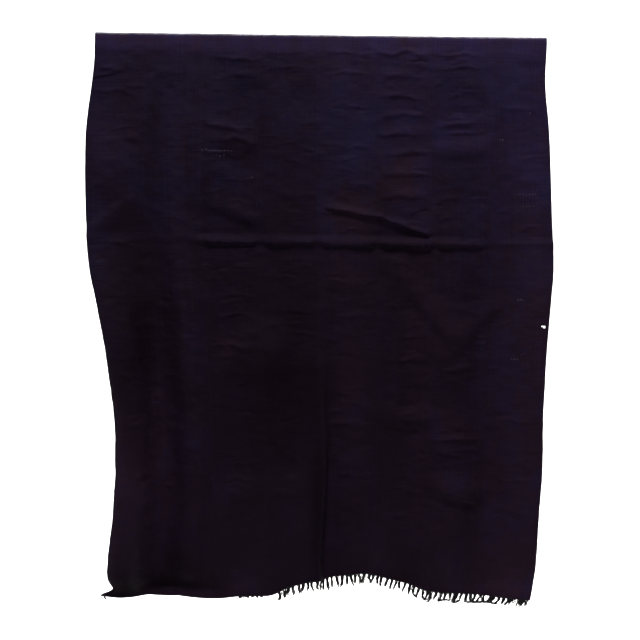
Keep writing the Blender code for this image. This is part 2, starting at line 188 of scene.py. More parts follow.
# Puckers between the seams: strip and drop, start and end as shares of the strip's width,
# how far it drops from end to end, height and half width
Pucker = namedtuple("Pucker", "strip drop start end slant height width")
PUCKERS = (
    Pucker(1, 0.134, 0.00, 0.80, 0.010, 0.0016, 0.016),
    Pucker(1, 0.241, 0.20, 0.95, -0.004, 0.0022, 0.018),
    Pucker(1, 0.475, 0.10, 0.90, -0.006, 0.0016, 0.012),
    Pucker(1, 0.873, 0.10, 0.80, 0.004, 0.0010, 0.012),
    Pucker(1, 1.134, 0.20, 0.95, 0.006, 0.0012, 0.014),
    Pucker(3, 0.059, 0.00, 0.98, 0.003, 0.0026, 0.011),
    Pucker(3, 0.096, 0.20, 0.95, 0.004, 0.0014, 0.010),
    Pucker(3, 0.208, 0.02, 0.80, 0.024, 0.0032, 0.022),
    Pucker(3, 0.240, 0.30, 1.00, 0.016, 0.0028, 0.019),
    Pucker(3, 0.271, 0.00, 0.75, 0.010, 0.0030, 0.018),
    Pucker(3, 0.587, 0.20, 0.95, 0.004, 0.0010, 0.012),
    Pucker(3, 0.630, 0.10, 0.98, 0.003, 0.0012, 0.009),
    Pucker(3, 0.698, 0.05, 0.85, 0.004, 0.0020, 0.016),
    Pucker(3, 0.993, 0.10, 0.85, -0.008, 0.0014, 0.010),
    Pucker(4, 0.045, 0.05, 0.95, 0.002, 0.0014, 0.010),
    Pucker(4, 0.074, 0.10, 0.90, 0.003, 0.0012, 0.010),
    Pucker(4, 0.618, 0.20, 0.95, 0.010, 0.0010, 0.010),
    Pucker(4, 0.648, 0.10, 0.80, 0.012, 0.0010, 0.012),
    Pucker(4, 1.018, 0.10, 0.90, 0.010, 0.0012, 0.016),
    Pucker(5, 0.044, 0.05, 1.00, -0.004, 0.0014, 0.009),
    Pucker(5, 0.087, 0.10, 1.00, -0.004, 0.0012, 0.010),
    Pucker(5, 0.250, 0.10, 0.90, 0.004, 0.0008, 0.012),
    Pucker(5, 0.625, 0.10, 0.95, 0.004, 0.0012, 0.010),
    Pucker(5, 0.868, 0.05, 0.80, 0.003, 0.0018, 0.012),
    Pucker(5, 0.980, 0.30, 0.95, 0.002, 0.0010, 0.008),
    Pucker(6, 0.042, 0.00, 1.00, 0.004, 0.0032, 0.014),
    Pucker(6, 0.092, 0.05, 1.00, -0.004, 0.0028, 0.017),
    Pucker(6, 0.140, 0.05, 1.00, 0.003, 0.0026, 0.016),
    Pucker(6, 0.180, 0.10, 0.95, -0.003, 0.0020, 0.014),
    Pucker(6, 0.222, 0.00, 0.90, 0.004, 0.0034, 0.018),
    Pucker(6, 0.263, 0.10, 1.00, -0.003, 0.0028, 0.015),
    Pucker(6, 0.310, 0.05, 1.00, 0.003, 0.0040, 0.021),
    Pucker(6, 0.362, 0.00, 1.00, 0.004, 0.0050, 0.024),
    Pucker(6, 0.422, 0.20, 1.00, 0.008, 0.0014, 0.010),
    Pucker(6, 0.513, 0.10, 0.80, 0.020, 0.0018, 0.014),
    Pucker(6, 0.725, 0.10, 0.90, 0.010, 0.0012, 0.012),
    Pucker(6, 0.875, 0.10, 0.95, 0.010, 0.0018, 0.014),
    Pucker(6, 0.958, 0.10, 0.90, 0.006, 0.0012, 0.012),
    Pucker(6, 1.070, 0.10, 0.90, 0.004, 0.0012, 0.012),
    Pucker(7, 0.044, 0.00, 1.00, 0.004, 0.0016, 0.009),
    Pucker(7, 0.074, 0.05, 0.95, -0.002, 0.0022, 0.010),
    Pucker(7, 0.198, 0.05, 0.90, -0.006, 0.0024, 0.018),
    Pucker(7, 0.220, 0.20, 0.95, -0.004, 0.0018, 0.010),
    Pucker(7, 0.612, 0.10, 0.90, 0.012, 0.0014, 0.014),
    Pucker(7, 0.738, 0.10, 0.95, -0.010, 0.0016, 0.014),
    Pucker(7, 0.898, 0.05, 0.95, 0.003, 0.0024, 0.011),
    Pucker(7, 0.923, 0.10, 0.90, 0.003, 0.0016, 0.010),
    Pucker(7, 1.053, 0.15, 0.95, 0.010, 0.0014, 0.014),
    Pucker(8, 0.165, 0.10, 0.90, 0.006, 0.0010, 0.014),
    Pucker(8, 0.648, 0.40, 1.00, 0.004, 0.0012, 0.012),
    Pucker(8, 0.856, 0.20, 1.00, 0.003, 0.0014, 0.010),
    Pucker(8, 1.053, 0.20, 0.90, 0.004, 0.0010, 0.012),
)
# How a pucker's line wanders, how its ends thin, how much steeper its underside is than
# its top, and how steep both are
PUCKER_WANDER = 0.12
PUCKER_WAVES = 9
PUCKER_ENDS = 0.8
PUCKER_UNDERSIDE = 1.7
PUCKER_STEEPNESS = 1.4

# Small unplanned puckers: how many, the share of them on each strip, and the ranges of
# start and length as shares of the strip's width, of slant, height, side and half width
SMALL_PUCKERS = 70
PUCKERED = (0.8, 0.35, 1.1, 0.9, 0.9, 1.4, 1.3, 0.8)
PUCKER_SEED = 41
SMALL_STARTS = (-0.1, 0.75)
SMALL_LENGTHS = (0.15, 0.60)
SMALL_SLANT = 0.007
SMALL_HEIGHTS = (0.0003, 0.0011)
SMALL_SIDES = (1.0, 1.0, -1.0)
SMALL_WIDTHS = (0.004, 0.014)

# Soft noise over the cloth: its height, the size of its cells across and down, and its seed.
# Strays shift the lines of the puckers, the change is a share of their height, and the
# cockle lies over the whole cloth.
Noise = namedtuple("Noise", "height cell seed")
STRAYS = (
    Noise(0.0055, (0.034, 0.050), 11),
    Noise(0.0022, (0.011, 0.018), 12),
)
PUCKER_CHANGE = Noise(0.6, (0.040, 0.030), 13)
COCKLE = (
    Noise(0.0016, (0.060, 0.075), 3),
    Noise(0.0007, (0.026, 0.018), 4),
    Noise(0.00022, (0.010, 0.007), 5),
)
NOISE_CELLS = 200
NOISE_CORNER = (3.0, 60.0)

# Share of the strays that a sharp crease follows, and how fast its slow side climbs
CREASE_STRAY = 0.25
CREASE_CLIMB = 1.6
SEAM_GROOVE = 0.00015
SEAM_GROOVE_REACH = 0.0026
# Share of the fine relief that is left on the bar, and where it grows to the whole
RELIEF_ON_BAR = 0.15
RELIEF_GROWS = (0.025, 0.05)

# Pulls at the lower left corner: reach across and down, height above the hem, and shift.
# They act on the lower part of the front alone.
Pull = namedtuple("Pull", "across down above shift")
CORNER_PULLS = (
    Pull(0.010, 0.012, 0.0, (-0.021, -0.003, 0.003)),
    Pull(0.030, 0.013, 0.020, (0.011, 0.0, 0.0)),
)
PULLS_BELOW = 1.0

# Worn hole near the right edge: place, width and height
Hole = namedtuple("Hole", "across drop width height")
HOLES = (Hole(1.024, 0.646, 0.011, 0.0045),)
# How ragged its rim is, and how fast that changes across and down
HOLE_RAG = 0.25
RAG_WAVES = (900, 1500)

# Fringe of each strip: where its locks start, as a share of the width, and the locks'
# length and lean to the right
Fringe = namedtuple("Fringe", "strip locks_from length lean")
FRINGES = (
    Fringe(3, 0.50, 0.007, 0.0),
    Fringe(4, 0.24, 0.023, 0.0),
    Fringe(5, 0.00, 0.029, -0.05),
    Fringe(6, 0.00, 0.0255, 0.22),
    Fringe(7, 0.00, 0.0240, 0.12),
    Fringe(8, 0.00, 0.021, 0.20),
)
FRINGED_STRIPS = [fringe.strip for fringe in FRINGES]
LOCKS_PER_STRIP = 12
FEWEST_LOCKS = 4
YARNS_PER_LOCK = 13
LOCK_HALF_WIDTH = 0.0034
LOCK_STEPS = 9
HELD_IN_HEM = 0.002
HEM_INSET = 0.0005
HEM_RUN = 0.012
FRINGE_SEED = 7

# How the locks differ: place, length, lean, bend, lean to the front, twist and width, and
# how lean and bend grow down them
LOCK_STRAY = 0.0014
LOCK_LENGTHS = (0.78, 1.06)
LOCK_LEAN = 0.09
LOCK_BEND = 0.0012
LOCK_FRONT = 0.08
LOCK_TWISTS = (0.8, 2.2)
LOCK_WIDTHS = (0.75, 1.15)
LEAN_POWER = 1.2
BEND_WAVES = 1.4
# A lock is wider at its root and tapers, every third yarn lies in its core, and it is flat
ROOT_SPREAD = 0.3
LOCK_TAPER = 0.25
CORE_EVERY = 3
CORE_SPREAD = 0.40
LOCK_FLATNESS = 0.4
# How the yarns of a lock differ: length, sway, waves and fray, and how their tips thin
YARN_LENGTHS = (0.74, 1.06)
YARN_SWAYS = (0.0003, 0.0008)
YARN_WAVES = (6.0, 11.0)
YARN_FRAY = 0.0011
YARN_THINS = 0.6
YARN_THINS_FROM = 0.7
YARN_SIDES = 5
# One turn, rounded
TURN = 6.28

# Stray yarns between the locks: how many a strip has, their lean, their thickness against
# a yarn's, and their greatest length and its shares against the locks'
STRAY_YARNS_PER_STRIP = 30
STRAY_LEAN = 0.3
STRAY_THICKNESS = 0.7
STRAY_REACH = 0.45
STRAY_SHARES = (0.1, 1.0)
# Loose yarns, strays and others: mesh steps, sway, curl and how their tips thin
LOOSE_STEP = 0.0025
FEWEST_STEPS = 4
SWAY_POWER = 1.6
LOOSE_SWAY = 0.10
LOOSE_CURLS = (0.5, 1.0)
LOOSE_CURL_SIZE = 1.2
LOOSE_WAVES = (9.0, 7.0)
LOOSE_THINS = 0.55
LOOSE_THINS_FROM = 0.75

# Locks whose tips are caught together by loose weft threads: first and last lock of a strip
Caught = namedtuple("Caught", "strip first last")
CAUGHT_TIPS = (
    Caught(6, 9, 11),
    Caught(7, 0, 2),
    Caught(7, 4, 6),
    Caught(7, 7, 9),
    Caught(7, 10, 11),
    Caught(8, 0, 5),
)
# Threads in a caught group, their steps from lock to lock, shift and wave, and the mean
# and spread of their rise between two locks
CAUGHT_THREADS = 7
CAUGHT_STEPS = 5
CAUGHT_SHIFT = 0.0010
CAUGHT_WAVE = 0.0005
CAUGHT_RISE = (0.0004, 0.0014)

# Whip stitches: half width and lean of a stitch on a seam and on the right selvage, and
# the drops between which the selvage is whipped, with its pitch against a seam's
Whip = namedtuple("Whip", "half_width lean")
SEAM_WHIP = Whip(0.0015, 0.0011)
SELVAGE_WHIP = Whip(0.0016, 0.0008)
SELVAGE_WHIPPED = (0.30, 0.66)
SELVAGE_PITCH = 0.8
SELVAGE_INSET = 0.0006
SELVAGE_SEED = 20
SEAM_ENDS_SHORT = 0.004
SEAM_CORE_HALF_WIDTH = 0.0008
SEAM_CORE_DEPTH = 0.50
# How the stitches differ: place, width, lift off the cloth in threads, and lean
STITCH_STRAY = 0.0004
STITCH_WIDTHS = (0.85, 1.2)
STITCH_LIFTS = (0.7, 1.1)
STITCH_LEANS = (0.7, 1.3)
STITCH_CORNERS = 8
STITCH_SIDES = 4
THREAD_SIDES = 6

# Rows of pale mending stitches and lint: place of the first, how many, their spacing,
# length and slant
Mend = namedtuple("Mend", "across drop count pitch length slant")
MENDS = (
    Mend(0.262, 0.264, 10, 0.0072, 0.0034, -1.1),
    Mend(0.284, 0.274, 4, 0.0085, 0.0026, -0.9),
    Mend(0.360, 0.323, 3, 0.0060, 0.0022, 1.2),
    Mend(0.962, 0.588, 3, 0.0055, 0.0034, 1.3),
    Mend(0.958, 0.718, 3, 0.0060, 0.0030, 1.0),
    Mend(0.980, 0.708, 2, 0.0060, 0.0026, 0.4),
    Mend(0.996, 0.173, 1, 0.0050, 0.0030, 0.2),
    Mend(0.924, 0.233, 2, 0.0060, 0.0024, 0.9),
    Mend(0.966, 0.353, 6, 0.0070, 0.0020, 1.4),
    Mend(0.972, 0.380, 4, 0.0075, 0.0018, 1.4),
)
# How the stitches differ: place, slant and length; their thickness against the sewing
# thread's, mesh steps, arch over the cloth and height at the ends
MEND_SEED = 23
MEND_STRAY = 0.0007
MEND_SLANT = 0.15
MEND_LENGTHS = (0.8, 1.2)
MEND_THICKNESS = 1.1
MEND_STEPS = 7
MEND_ARCH = 0.0009
MEND_LIFT = 0.00025

# Tufts of pulled threads at the corners: place, length and lean to the right
Tuft = namedtuple("Tuft", "across length lean")
CORNER_TUFTS = (
    Tuft(0.004, 0.012, -1.2),
    Tuft(0.998, 0.030, 1.6),
    Tuft(1.005, 0.027, 1.5),
    Tuft(1.012, 0.025, 1.3),
    Tuft(1.019, 0.022, 1.1),
    Tuft(1.026, 0.018, 0.7),
)
YARNS_PER_TUFT = 8
TUFT_LEAN = 0.12
TUFT_LENGTHS = (0.6, 1.0)

# Where the dye's hue differs and where light and shade are painted: place, half width and half height, lean
# to blue (below zero: to a reddish violet) and share of light added, which is painted light and shade of
# the folds, the creases and the lamp's falloff, with some darker places of the dye
DyeAndPaintedLightPatch = namedtuple("DyeAndPaintedLightPatch", "across drop width height blue light")
DYE_AND_PAINTED_LIGHT_PATCHES = (
    DyeAndPaintedLightPatch(0.048, 0.240, 0.060, 0.080, -0.30, 0.22),
    DyeAndPaintedLightPatch(0.565, 0.076, 0.080, 0.030, -0.40, 0.16),
    DyeAndPaintedLightPatch(0.593, 0.393, 0.055, 0.045, -0.45, 0.16),
    DyeAndPaintedLightPatch(0.710, 0.310, 0.050, 0.060, -0.30, 0.16),
    DyeAndPaintedLightPatch(0.039, 0.988, 0.030, 0.050, -0.40, 0.14),
    DyeAndPaintedLightPatch(0.978, 1.195, 0.050, 0.070, -0.35, 0.10),
    DyeAndPaintedLightPatch(0.096, 0.671, 0.055, 0.200, -0.50, -0.22),
    DyeAndPaintedLightPatch(0.421, 0.842, 0.110, 0.130, -0.30, -0.19),
    DyeAndPaintedLightPatch(0.837, 0.470, 0.080, 0.110, 0.10, -0.14),
    DyeAndPaintedLightPatch(0.927, 0.719, 0.100, 0.200, 0.10, -0.06),
    DyeAndPaintedLightPatch(0.600, 0.180, 0.070, 0.110, 0.45, 0.10),
    DyeAndPaintedLightPatch(0.920, 0.090, 0.130, 0.100, 0.30, 0.06),
    DyeAndPaintedLightPatch(0.008, 0.520, 0.035, 0.130, 0.55, 0.10),
    DyeAndPaintedLightPatch(0.147, 0.210, 0.016, 0.110, 0.00, -0.14),
    DyeAndPaintedLightPatch(0.200, 0.541, 0.030, 0.420, 0.00, 0.10),
    DyeAndPaintedLightPatch(0.273, 0.374, 0.050, 0.030, 0.00, -0.14),
    DyeAndPaintedLightPatch(0.379, 0.446, 0.060, 0.030, 0.00, -0.14),
    DyeAndPaintedLightPatch(0.350, 0.122, 0.050, 0.030, 0.00, -0.16),
    DyeAndPaintedLightPatch(0.350, 0.246, 0.040, 0.025, 0.00, -0.10),
    DyeAndPaintedLightPatch(0.315, 0.699, 0.060, 0.040, 0.00, 0.14),
    DyeAndPaintedLightPatch(0.281, 0.877, 0.050, 0.040, -0.10, -0.10),
    DyeAndPaintedLightPatch(0.484, 0.755, 0.060, 0.050, -0.10, -0.10),
    DyeAndPaintedLightPatch(0.575, 0.518, 0.050, 0.040, -0.10, 0.12),
    DyeAndPaintedLightPatch(0.575, 0.790, 0.035, 0.140, -0.10, 0.12),
    DyeAndPaintedLightPatch(0.710, 0.456, 0.060, 0.040, -0.10, -0.12),
    DyeAndPaintedLightPatch(0.838, 0.120, 0.060, 0.050, 0.10, -0.16),
    DyeAndPaintedLightPatch(0.830, 0.203, 0.060, 0.025, 0.00, 0.14),
    DyeAndPaintedLightPatch(0.830, 0.314, 0.060, 0.035, 0.00, -0.14),
    DyeAndPaintedLightPatch(0.814, 0.782, 0.050, 0.030, 0.00, -0.12),
    DyeAndPaintedLightPatch(0.822, 0.871, 0.050, 0.030, 0.00, 0.08),
    DyeAndPaintedLightPatch(0.824, 0.944, 0.050, 0.030, 0.00, -0.10),
    DyeAndPaintedLightPatch(0.968, 0.260, 0.060, 0.120, 0.05, 0.06),
    DyeAndPaintedLightPatch(0.128, 1.225, 0.130, 0.030, -0.20, -0.24),
    DyeAndPaintedLightPatch(0.085, 0.980, 0.040, 0.200, -0.10, 0.28),
    DyeAndPaintedLightPatch(0.030, 1.225, 0.080, 0.032, -0.10, -0.38),
    DyeAndPaintedLightPatch(0.100, 0.300, 0.260, 0.600, 0.00, -0.10),
    DyeAndPaintedLightPatch(0.420, 0.420, 0.150, 0.600, 0.00, -0.06),
    DyeAndPaintedLightPatch(0.750, 0.300, 0.140, 0.500, 0.00, 0.07),
    DyeAndPaintedLightPatch(1.030, 0.420, 0.180, 0.900, 0.03, 0.22),
    DyeAndPaintedLightPatch(0.145, 0.900, 0.030, 0.220, 0.10, 0.10),
    DyeAndPaintedLightPatch(0.200, 1.190, 0.080, 0.034, -0.10, -0.18),
    DyeAndPaintedLightPatch(0.520, 0.640, 0.800, 0.280, -0.30, -0.08),
    DyeAndPaintedLightPatch(0.520, 1.150, 0.800, 0.280, -0.22, 0.00),
    DyeAndPaintedLightPatch(0.522, 0.900, 0.007, 0.220, 0.00, 0.18),
    DyeAndPaintedLightPatch(0.770, 0.040, 0.110, 0.040, 0.00, 0.10),
    DyeAndPaintedLightPatch(0.150, 0.330, 0.070, 0.080, 0.00, -0.08),
    DyeAndPaintedLightPatch(0.480, 0.650, 0.130, 0.035, 0.00, -0.10),
    DyeAndPaintedLightPatch(0.650, 0.900, 0.040, 0.160, 0.00, -0.08),
    DyeAndPaintedLightPatch(0.330, 1.230, 0.040, 0.030, 0.00, 0.14),
    DyeAndPaintedLightPatch(0.985, 1.230, 0.050, 0.030, 0.00, 0.12),
    DyeAndPaintedLightPatch(0.504, 1.070, 0.016, 0.190, 0.00, -0.26),
    DyeAndPaintedLightPatch(0.180, 1.155, 0.060, 0.060, -0.20, -0.20),
    DyeAndPaintedLightPatch(0.030, 0.740, 0.032, 0.110, 0.00, -0.14),
    DyeAndPaintedLightPatch(0.110, 0.880, 0.028, 0.180, 0.05, 0.10),
    DyeAndPaintedLightPatch(0.656, 0.480, 0.045, 0.200, -0.05, -0.12),
    DyeAndPaintedLightPatch(1.010, 0.500, 0.050, 0.450, 0.00, 0.06),
    DyeAndPaintedLightPatch(0.010, 0.980, 0.024, 0.220, 0.00, 0.16),
    DyeAndPaintedLightPatch(0.900, 1.235, 0.160, 0.030, -0.05, 0.12),
    DyeAndPaintedLightPatch(0.520, 1.120, 0.012, 0.140, 0.00, -0.14),
    DyeAndPaintedLightPatch(0.760, 1.190, 0.090, 0.040, -0.10, -0.10),
)
# Painted highlight along the top fold, and a painted bluish sheen that fades down the front
TOP_PAINTED_HIGHLIGHT = 0.42
TOP_PAINTED_HIGHLIGHT_DROP = 0.02
TOP_PAINTED_HIGHLIGHT_REACH = 0.026
TOP_PAINTED_SHEEN_BLUE = 0.30
TOP_PAINTED_SHEEN_FADES = (0.20, 0.75)
# Taken from the lean to blue all over, and the layout's value where it changes nothing
WARMTH = 0.10
PLAIN = 0.5
DYE_AND_PAINTED_LIGHT_MAP = "dye"

# Lean to blue, lightness and warp streaks of each strip's dye bath
Dye = namedtuple("Dye", "blue light streaks")
DYES = (
    Dye(0.02, 1.00, 0.10),
    Dye(0.08, 1.04, 0.16),
    Dye(0.00, 0.98, 0.12),
    Dye(-0.04, 0.94, 0.12),
    Dye(0.06, 1.02, 0.12),
    Dye(-0.02, 1.02, 0.12),
    Dye(0.04, 1.00, 0.14),
    Dye(0.06, 1.02, 0.14),
)
# Patterns in the dyed cloth: size of a bump across and down, detail, and first seed
Pattern = namedtuple("Pattern", "size detail seed")
CLOUDS = Pattern((0.085, 0.110), 3.0, 0)
BLOTS = Pattern((0.020, 0.016), 2.0, 10)
WARP_STREAKS = Pattern((0.0030, 0.260), 2.0, 20)
WEFT_STREAKS = Pattern((0.110, 0.0032), 2.0, 30)
PATTERN_SHIFT = (7.3, 3.1)
# What the patterns change: lean to blue, lightness and roughness
CLOUD_BLUE = 0.28
BLOT_BLUE = 0.20
CLOUD_LIGHT = (0.92, 1.10)
WEFT_LIGHT = (0.90, 1.10)
BLOT_ROUGHNESS = (0.50, 0.72)
# Height of slubs and blots against the weave, and scale that gives one wave to each thread
SLUB_HEIGHT = 1.6
BLOT_HEIGHT = 3.0
ONE_WAVE = 0.314159
# Size of the twist that shows in each yarn
SEWING_TWIST = 0.0015
FRINGE_TWIST = 0.0012
MENDING_TWIST = 0.001

# Mesh
LATTICE_COLUMNS = 801
ARC_ROWS = 14
TAIL_ROW_PITCH = 1.5
CLOTH_MAP = "cloth"
HEM_ROWS_IN_BAND = 2
PICKS_THICKNESS = 0.8
SELVAGE_ANGLE = math.radians(60)

# Studio, in metres and degrees
CAMERA_PLACE = (0.0082, -2.7, -0.6356)
CAMERA_ROLL = math.radians(0.68)
CAMERA_LENS = 68.0
FLOOR_Z = -1.45
SWEEP_HALF_WIDTH = 7.0
SWEEP_FRONT = -7.0
SWEEP_BACK = 3.4
SWEEP_RADIUS = 1.2
SWEEP_TOP = 4.0
SWEEP_CORNERS = 13
SKY_STRENGTH = 0.08

# Square lamps: place, what each faces, side, power in watts and colour
Lamp = namedtuple("Lamp", "name place target side watts colour")
CLOTH_MIDDLE = (0.0, 0.0, -0.6)
LAMPS = (
    Lamp("key_light", (-0.22, -1.5, 2.6), CLOTH_MIDDLE, 0.9, 143.0, (1.0, 0.98, 0.97)),
    Lamp("fill_light", (-0.6, -3.6, 0.2), CLOTH_MIDDLE, 1.2, 6.0, (0.97, 0.97, 1.0)),
    Lamp("backdrop_light", (0.0, 1.2, 1.6), (0.0, 3.6, -0.9), 2.0, 900.0, (1.0, 1.0, 1.0)),
)


def linear(hex_code):
    """Turns an sRGB hex colour into linear values."""
    parts = [int(hex_code[start:start + 2], 16) / 255.0 for start in (1, 3, 5)]
    return tuple(p / 12.92 if p <= 0.04045 else ((p + 0.055) / 1.055) ** 2.4 for p in parts)


class MudClothSizes(bpy.types.PropertyGroup):
    """Sizes that a user would change."""

    cloth_thickness: FloatProperty(
        name="Cloth thickness", description="Thickness of the woven strips",
        default=0.0011, min=0.0005, max=0.003, precision=4, unit="LENGTH")
    row_pitch: FloatProperty(
        name="Row pitch", description="Length of one mesh cell down the cloth",
        default=0.0024, min=0.002, max=0.02, precision=4, unit="LENGTH")
    cells_across: IntProperty(
        name="Cells across", description="Mesh cells across one strip",
        default=32, min=8, max=60)
    pucker_height: FloatProperty(
        name="Pucker height", description="Height of the puckers against their listed height",
        default=1.35, min=0.0, max=2.0, subtype="FACTOR")
    warp_pitch: FloatProperty(
        name="Warp pitch", description="Spacing of the warp threads",
        default=0.0009, min=0.0003, max=0.003, precision=5, unit="LENGTH")
    weft_pitch: FloatProperty(
        name="Weft pitch", description="Spacing of the weft threads",
        default=0.0011, min=0.0003, max=0.003, precision=5, unit="LENGTH")
    stitch_pitch: FloatProperty(
        name="Stitch pitch", description="Spacing of the whip stitches in the seams",
        default=0.0062, min=0.003, max=0.02, precision=4, unit="LENGTH")
    stitch_thread: FloatProperty(
        name="Stitch thread", description="Radius of the sewing thread",
        default=0.00024, min=0.0001, max=0.001, precision=5, unit="LENGTH")
    yarn_radius: FloatProperty(
        name="Yarn radius", description="Radius of one loose warp yarn of the fringe",
        default=0.00085, min=0.0002, max=0.002, precision=5, unit="LENGTH")


class MudClothColours(bpy.types.PropertyGroup):
    """Colours that a user would change."""

    indigo_red: FloatVectorProperty(
        name="Warm indigo", description="The dye where it leans to a brownish violet",
        default=linear("#190e18"), min=0.0, max=1.0, subtype="COLOR")
    indigo_blue: FloatVectorProperty(
        name="Blue indigo", description="The dye where it leans to a blue violet",
        default=linear("#151025"), min=0.0, max=1.0, subtype="COLOR")
    burnish: FloatVectorProperty(
        name="Burnish", description="Tint of the shine that beating the dyed cloth gives",
        default=linear("#b8a2cc"), min=0.0, max=1.0, subtype="COLOR")
    yarn: FloatVectorProperty(
        name="Fringe yarn", description="Dyed yarn of the fringe",
        default=linear("#0e080e"), min=0.0, max=1.0, subtype="COLOR")
    thread: FloatVectorProperty(
        name="Sewing thread", description="Dyed thread of the seams",
        default=linear("#17101d"), min=0.0, max=1.0, subtype="COLOR")
    pale_thread: FloatVectorProperty(
        name="Pale thread", description="Undyed thread of the mending stitches",
        default=linear("#8d8296"), min=0.0, max=1.0, subtype="COLOR")
    floor: FloatVectorProperty(
        name="Floor", description="The pale floor and the sweep behind the cloth",
        default=linear("#bcbcba"), min=0.0, max=1.0, subtype="COLOR")


def smooth_step(value, low, high):
    """Rises softly from 0 at low to 1 at high."""
    share = np.clip((value - low) / (high - low), 0.0, 1.0)
    return share * share * (3.0 - 2.0 * share)


def soft_line(at, places, values, reach):
    """A line through a table's values, its corners rounded over the reach on either side."""
    offsets = np.linspace(-reach, reach, ROUNDING_STEPS)
    return sum(np.interp(at + offset, places, values) for offset in offsets) / ROUNDING_STEPS


def fold_height(fold, across, drop, runs_down):
    """How far one fold stands towards the front at each point of the cloth."""
    run = np.subtract(fold.end, fold.start)
    length = math.hypot(*run)
    run = run / length
    from_start = (across - fold.start[0], drop - fold.start[1])
    along = (from_start[0] * run[0] + from_start[1] * run[1]) / length
    aside = from_start[0] * run[1] - from_start[1] * run[0]
    half_width = np.where(aside < 0.0, fold.before, fold.after)
    profile = 0.5 + 0.5 * np.cos(np.pi * np.clip(aside / half_width, -1.0, 1.0))
    if not runs_down:
        profile = profile ** CROSS_FOLD_POWER
    rise = smooth_step(along, 0.0, fold.fade_in)
    fall = smooth_step(1.0 - along, 0.0, fold.fade_out)
    return fold.height * profile * rise * fall


def settled(relief, drop):
    """Lets folds start under the bar, valleys only below the tail, on a front that leans."""
    below_tail = smooth_step(
        drop, TAIL_DROP + VALLEYS_START_BELOW, TAIL_DROP + VALLEYS_DEEPEN_OVER)
    relief = np.maximum(relief, 0.0) + np.minimum(relief, 0.0) * below_tail
    relief = relief * smooth_step(drop, FOLD_RADIUS, FOLDS_START_BY)
    return relief + FRONT_LEAN * np.maximum(drop - FOLDS_START_BY, 0.0)


def edge_x(drop):
    """X of the left and the right edge at a drop below the top line."""
    drops = [edge.drop for edge in EDGES]
    left = soft_line(drop, drops, [edge.left for edge in EDGES], EDGE_ROUNDING)
    right = soft_line(drop, drops, [edge.right for edge in EDGES], EDGE_ROUNDING)
    return left, right


def hem_drop(across):
    """Drop of the front hem below the top line."""
    places = [point.across for point in HEM]
    return soft_line(across, places, [point.drop for point in HEM], HEM_ROUNDING)


def spread_across(left, right, slope):
    """X of every sample: a steep flank takes less width, so the woven width is kept."""
    taken = np.sqrt(np.clip(1.0 - slope ** 2, FLANK_LIMIT, 1.0))
    steps = 0.5 * (taken[:, 1:] + taken[:, :-1])
    share = np.concatenate((np.zeros((len(taken), 1)), np.cumsum(steps, axis=1)), axis=1)
    return left + (right - left) * share / share[:, -1:]


Lattice = namedtuple("Lattice", "across along points normals")


def unit(vectors):
    """The vectors at length 1."""
    return vectors / np.linalg.norm(vectors, axis=-1, keepdims=True)


def outward(points):
    """Unit normals of a lattice of points, pointing out of the cloth's outer face."""
    down = np.gradient(points, axis=0)
    over = np.gradient(points, axis=1)
    return unit(np.cross(over, down))


def pucker_line(pucker):
    """The strip's columns that a pucker covers, as a start and an end across."""
    start = STRIP_STARTS[pucker.strip - 1]
    width = STRIP_WIDTHS[pucker.strip - 1]
    return start + pucker.start * width, start + pucker.end * width


def add_pucker(relief, across, along, pucker):
    """Adds one pucker: a small ridge across a strip, full in its middle and gone at its ends."""
    start, end = pucker_line(pucker)
    columns = np.nonzero((across[0] > start) & (across[0] < end))[0]
    share = (across[0, columns] - start) / (end - start)
    wander = PUCKER_WANDER * pucker.width * np.sin(PUCKER_WAVES * share)
    offset = (along[:, columns] - (pucker.drop + pucker.slant * (share - 0.5) + wander)) / pucker.width
    envelope = np.sin(np.pi * share) ** PUCKER_ENDS
    steep = np.where(offset > 0.0, PUCKER_UNDERSIDE, 1.0)
    profile = 1.0 / (1.0 + (PUCKER_STEEPNESS * steep * offset) ** 2) ** 2
    relief[:, columns] += pucker.height * envelope * profile


def small_puckers():
    """Unplanned little puckers, the same ones on every run."""
    rng = np.random.default_rng(PUCKER_SEED)
    puckers = []
    for strip in STRIPS:
        for _ in range(round(SMALL_PUCKERS * PUCKERED[strip - 1])):
            start = rng.uniform(*SMALL_STARTS)
            puckers.append(Pucker(
                strip,
                rng.uniform(-TAIL_DROP, FRONT_DROP),
                max(0.0, start),
                min(1.0, start + rng.uniform(*SMALL_LENGTHS)),
                rng.normal(0.0, SMALL_SLANT),
                rng.uniform(*SMALL_HEIGHTS) * rng.choice(SMALL_SIDES),
                rng.uniform(*SMALL_WIDTHS),
            ))
    return puckers


def lip_height(crease, across, along):
    """A sharp crease: it climbs slowly from above and breaks off steeply below its lip."""
    run = np.subtract(crease.end, crease.start)
    length = math.hypot(*run)
    run = run / length
    share = ((across - crease.start[0]) * run[0] + (along - crease.start[1]) * run[1]) / length
    below = (along - crease.start[1]) * run[0] - (across - crease.start[0]) * run[1]
    slow = np.exp(-np.maximum(-below, 0.0) / crease.after * CREASE_CLIMB)
    steep = 1.0 - smooth_step(below, 0.0, crease.before)
    ends = smooth_step(share, 0.0, crease.fade_in) * smooth_step(1.0 - share, 0.0, crease.fade_out)
    return crease.height * slow * steep * ends


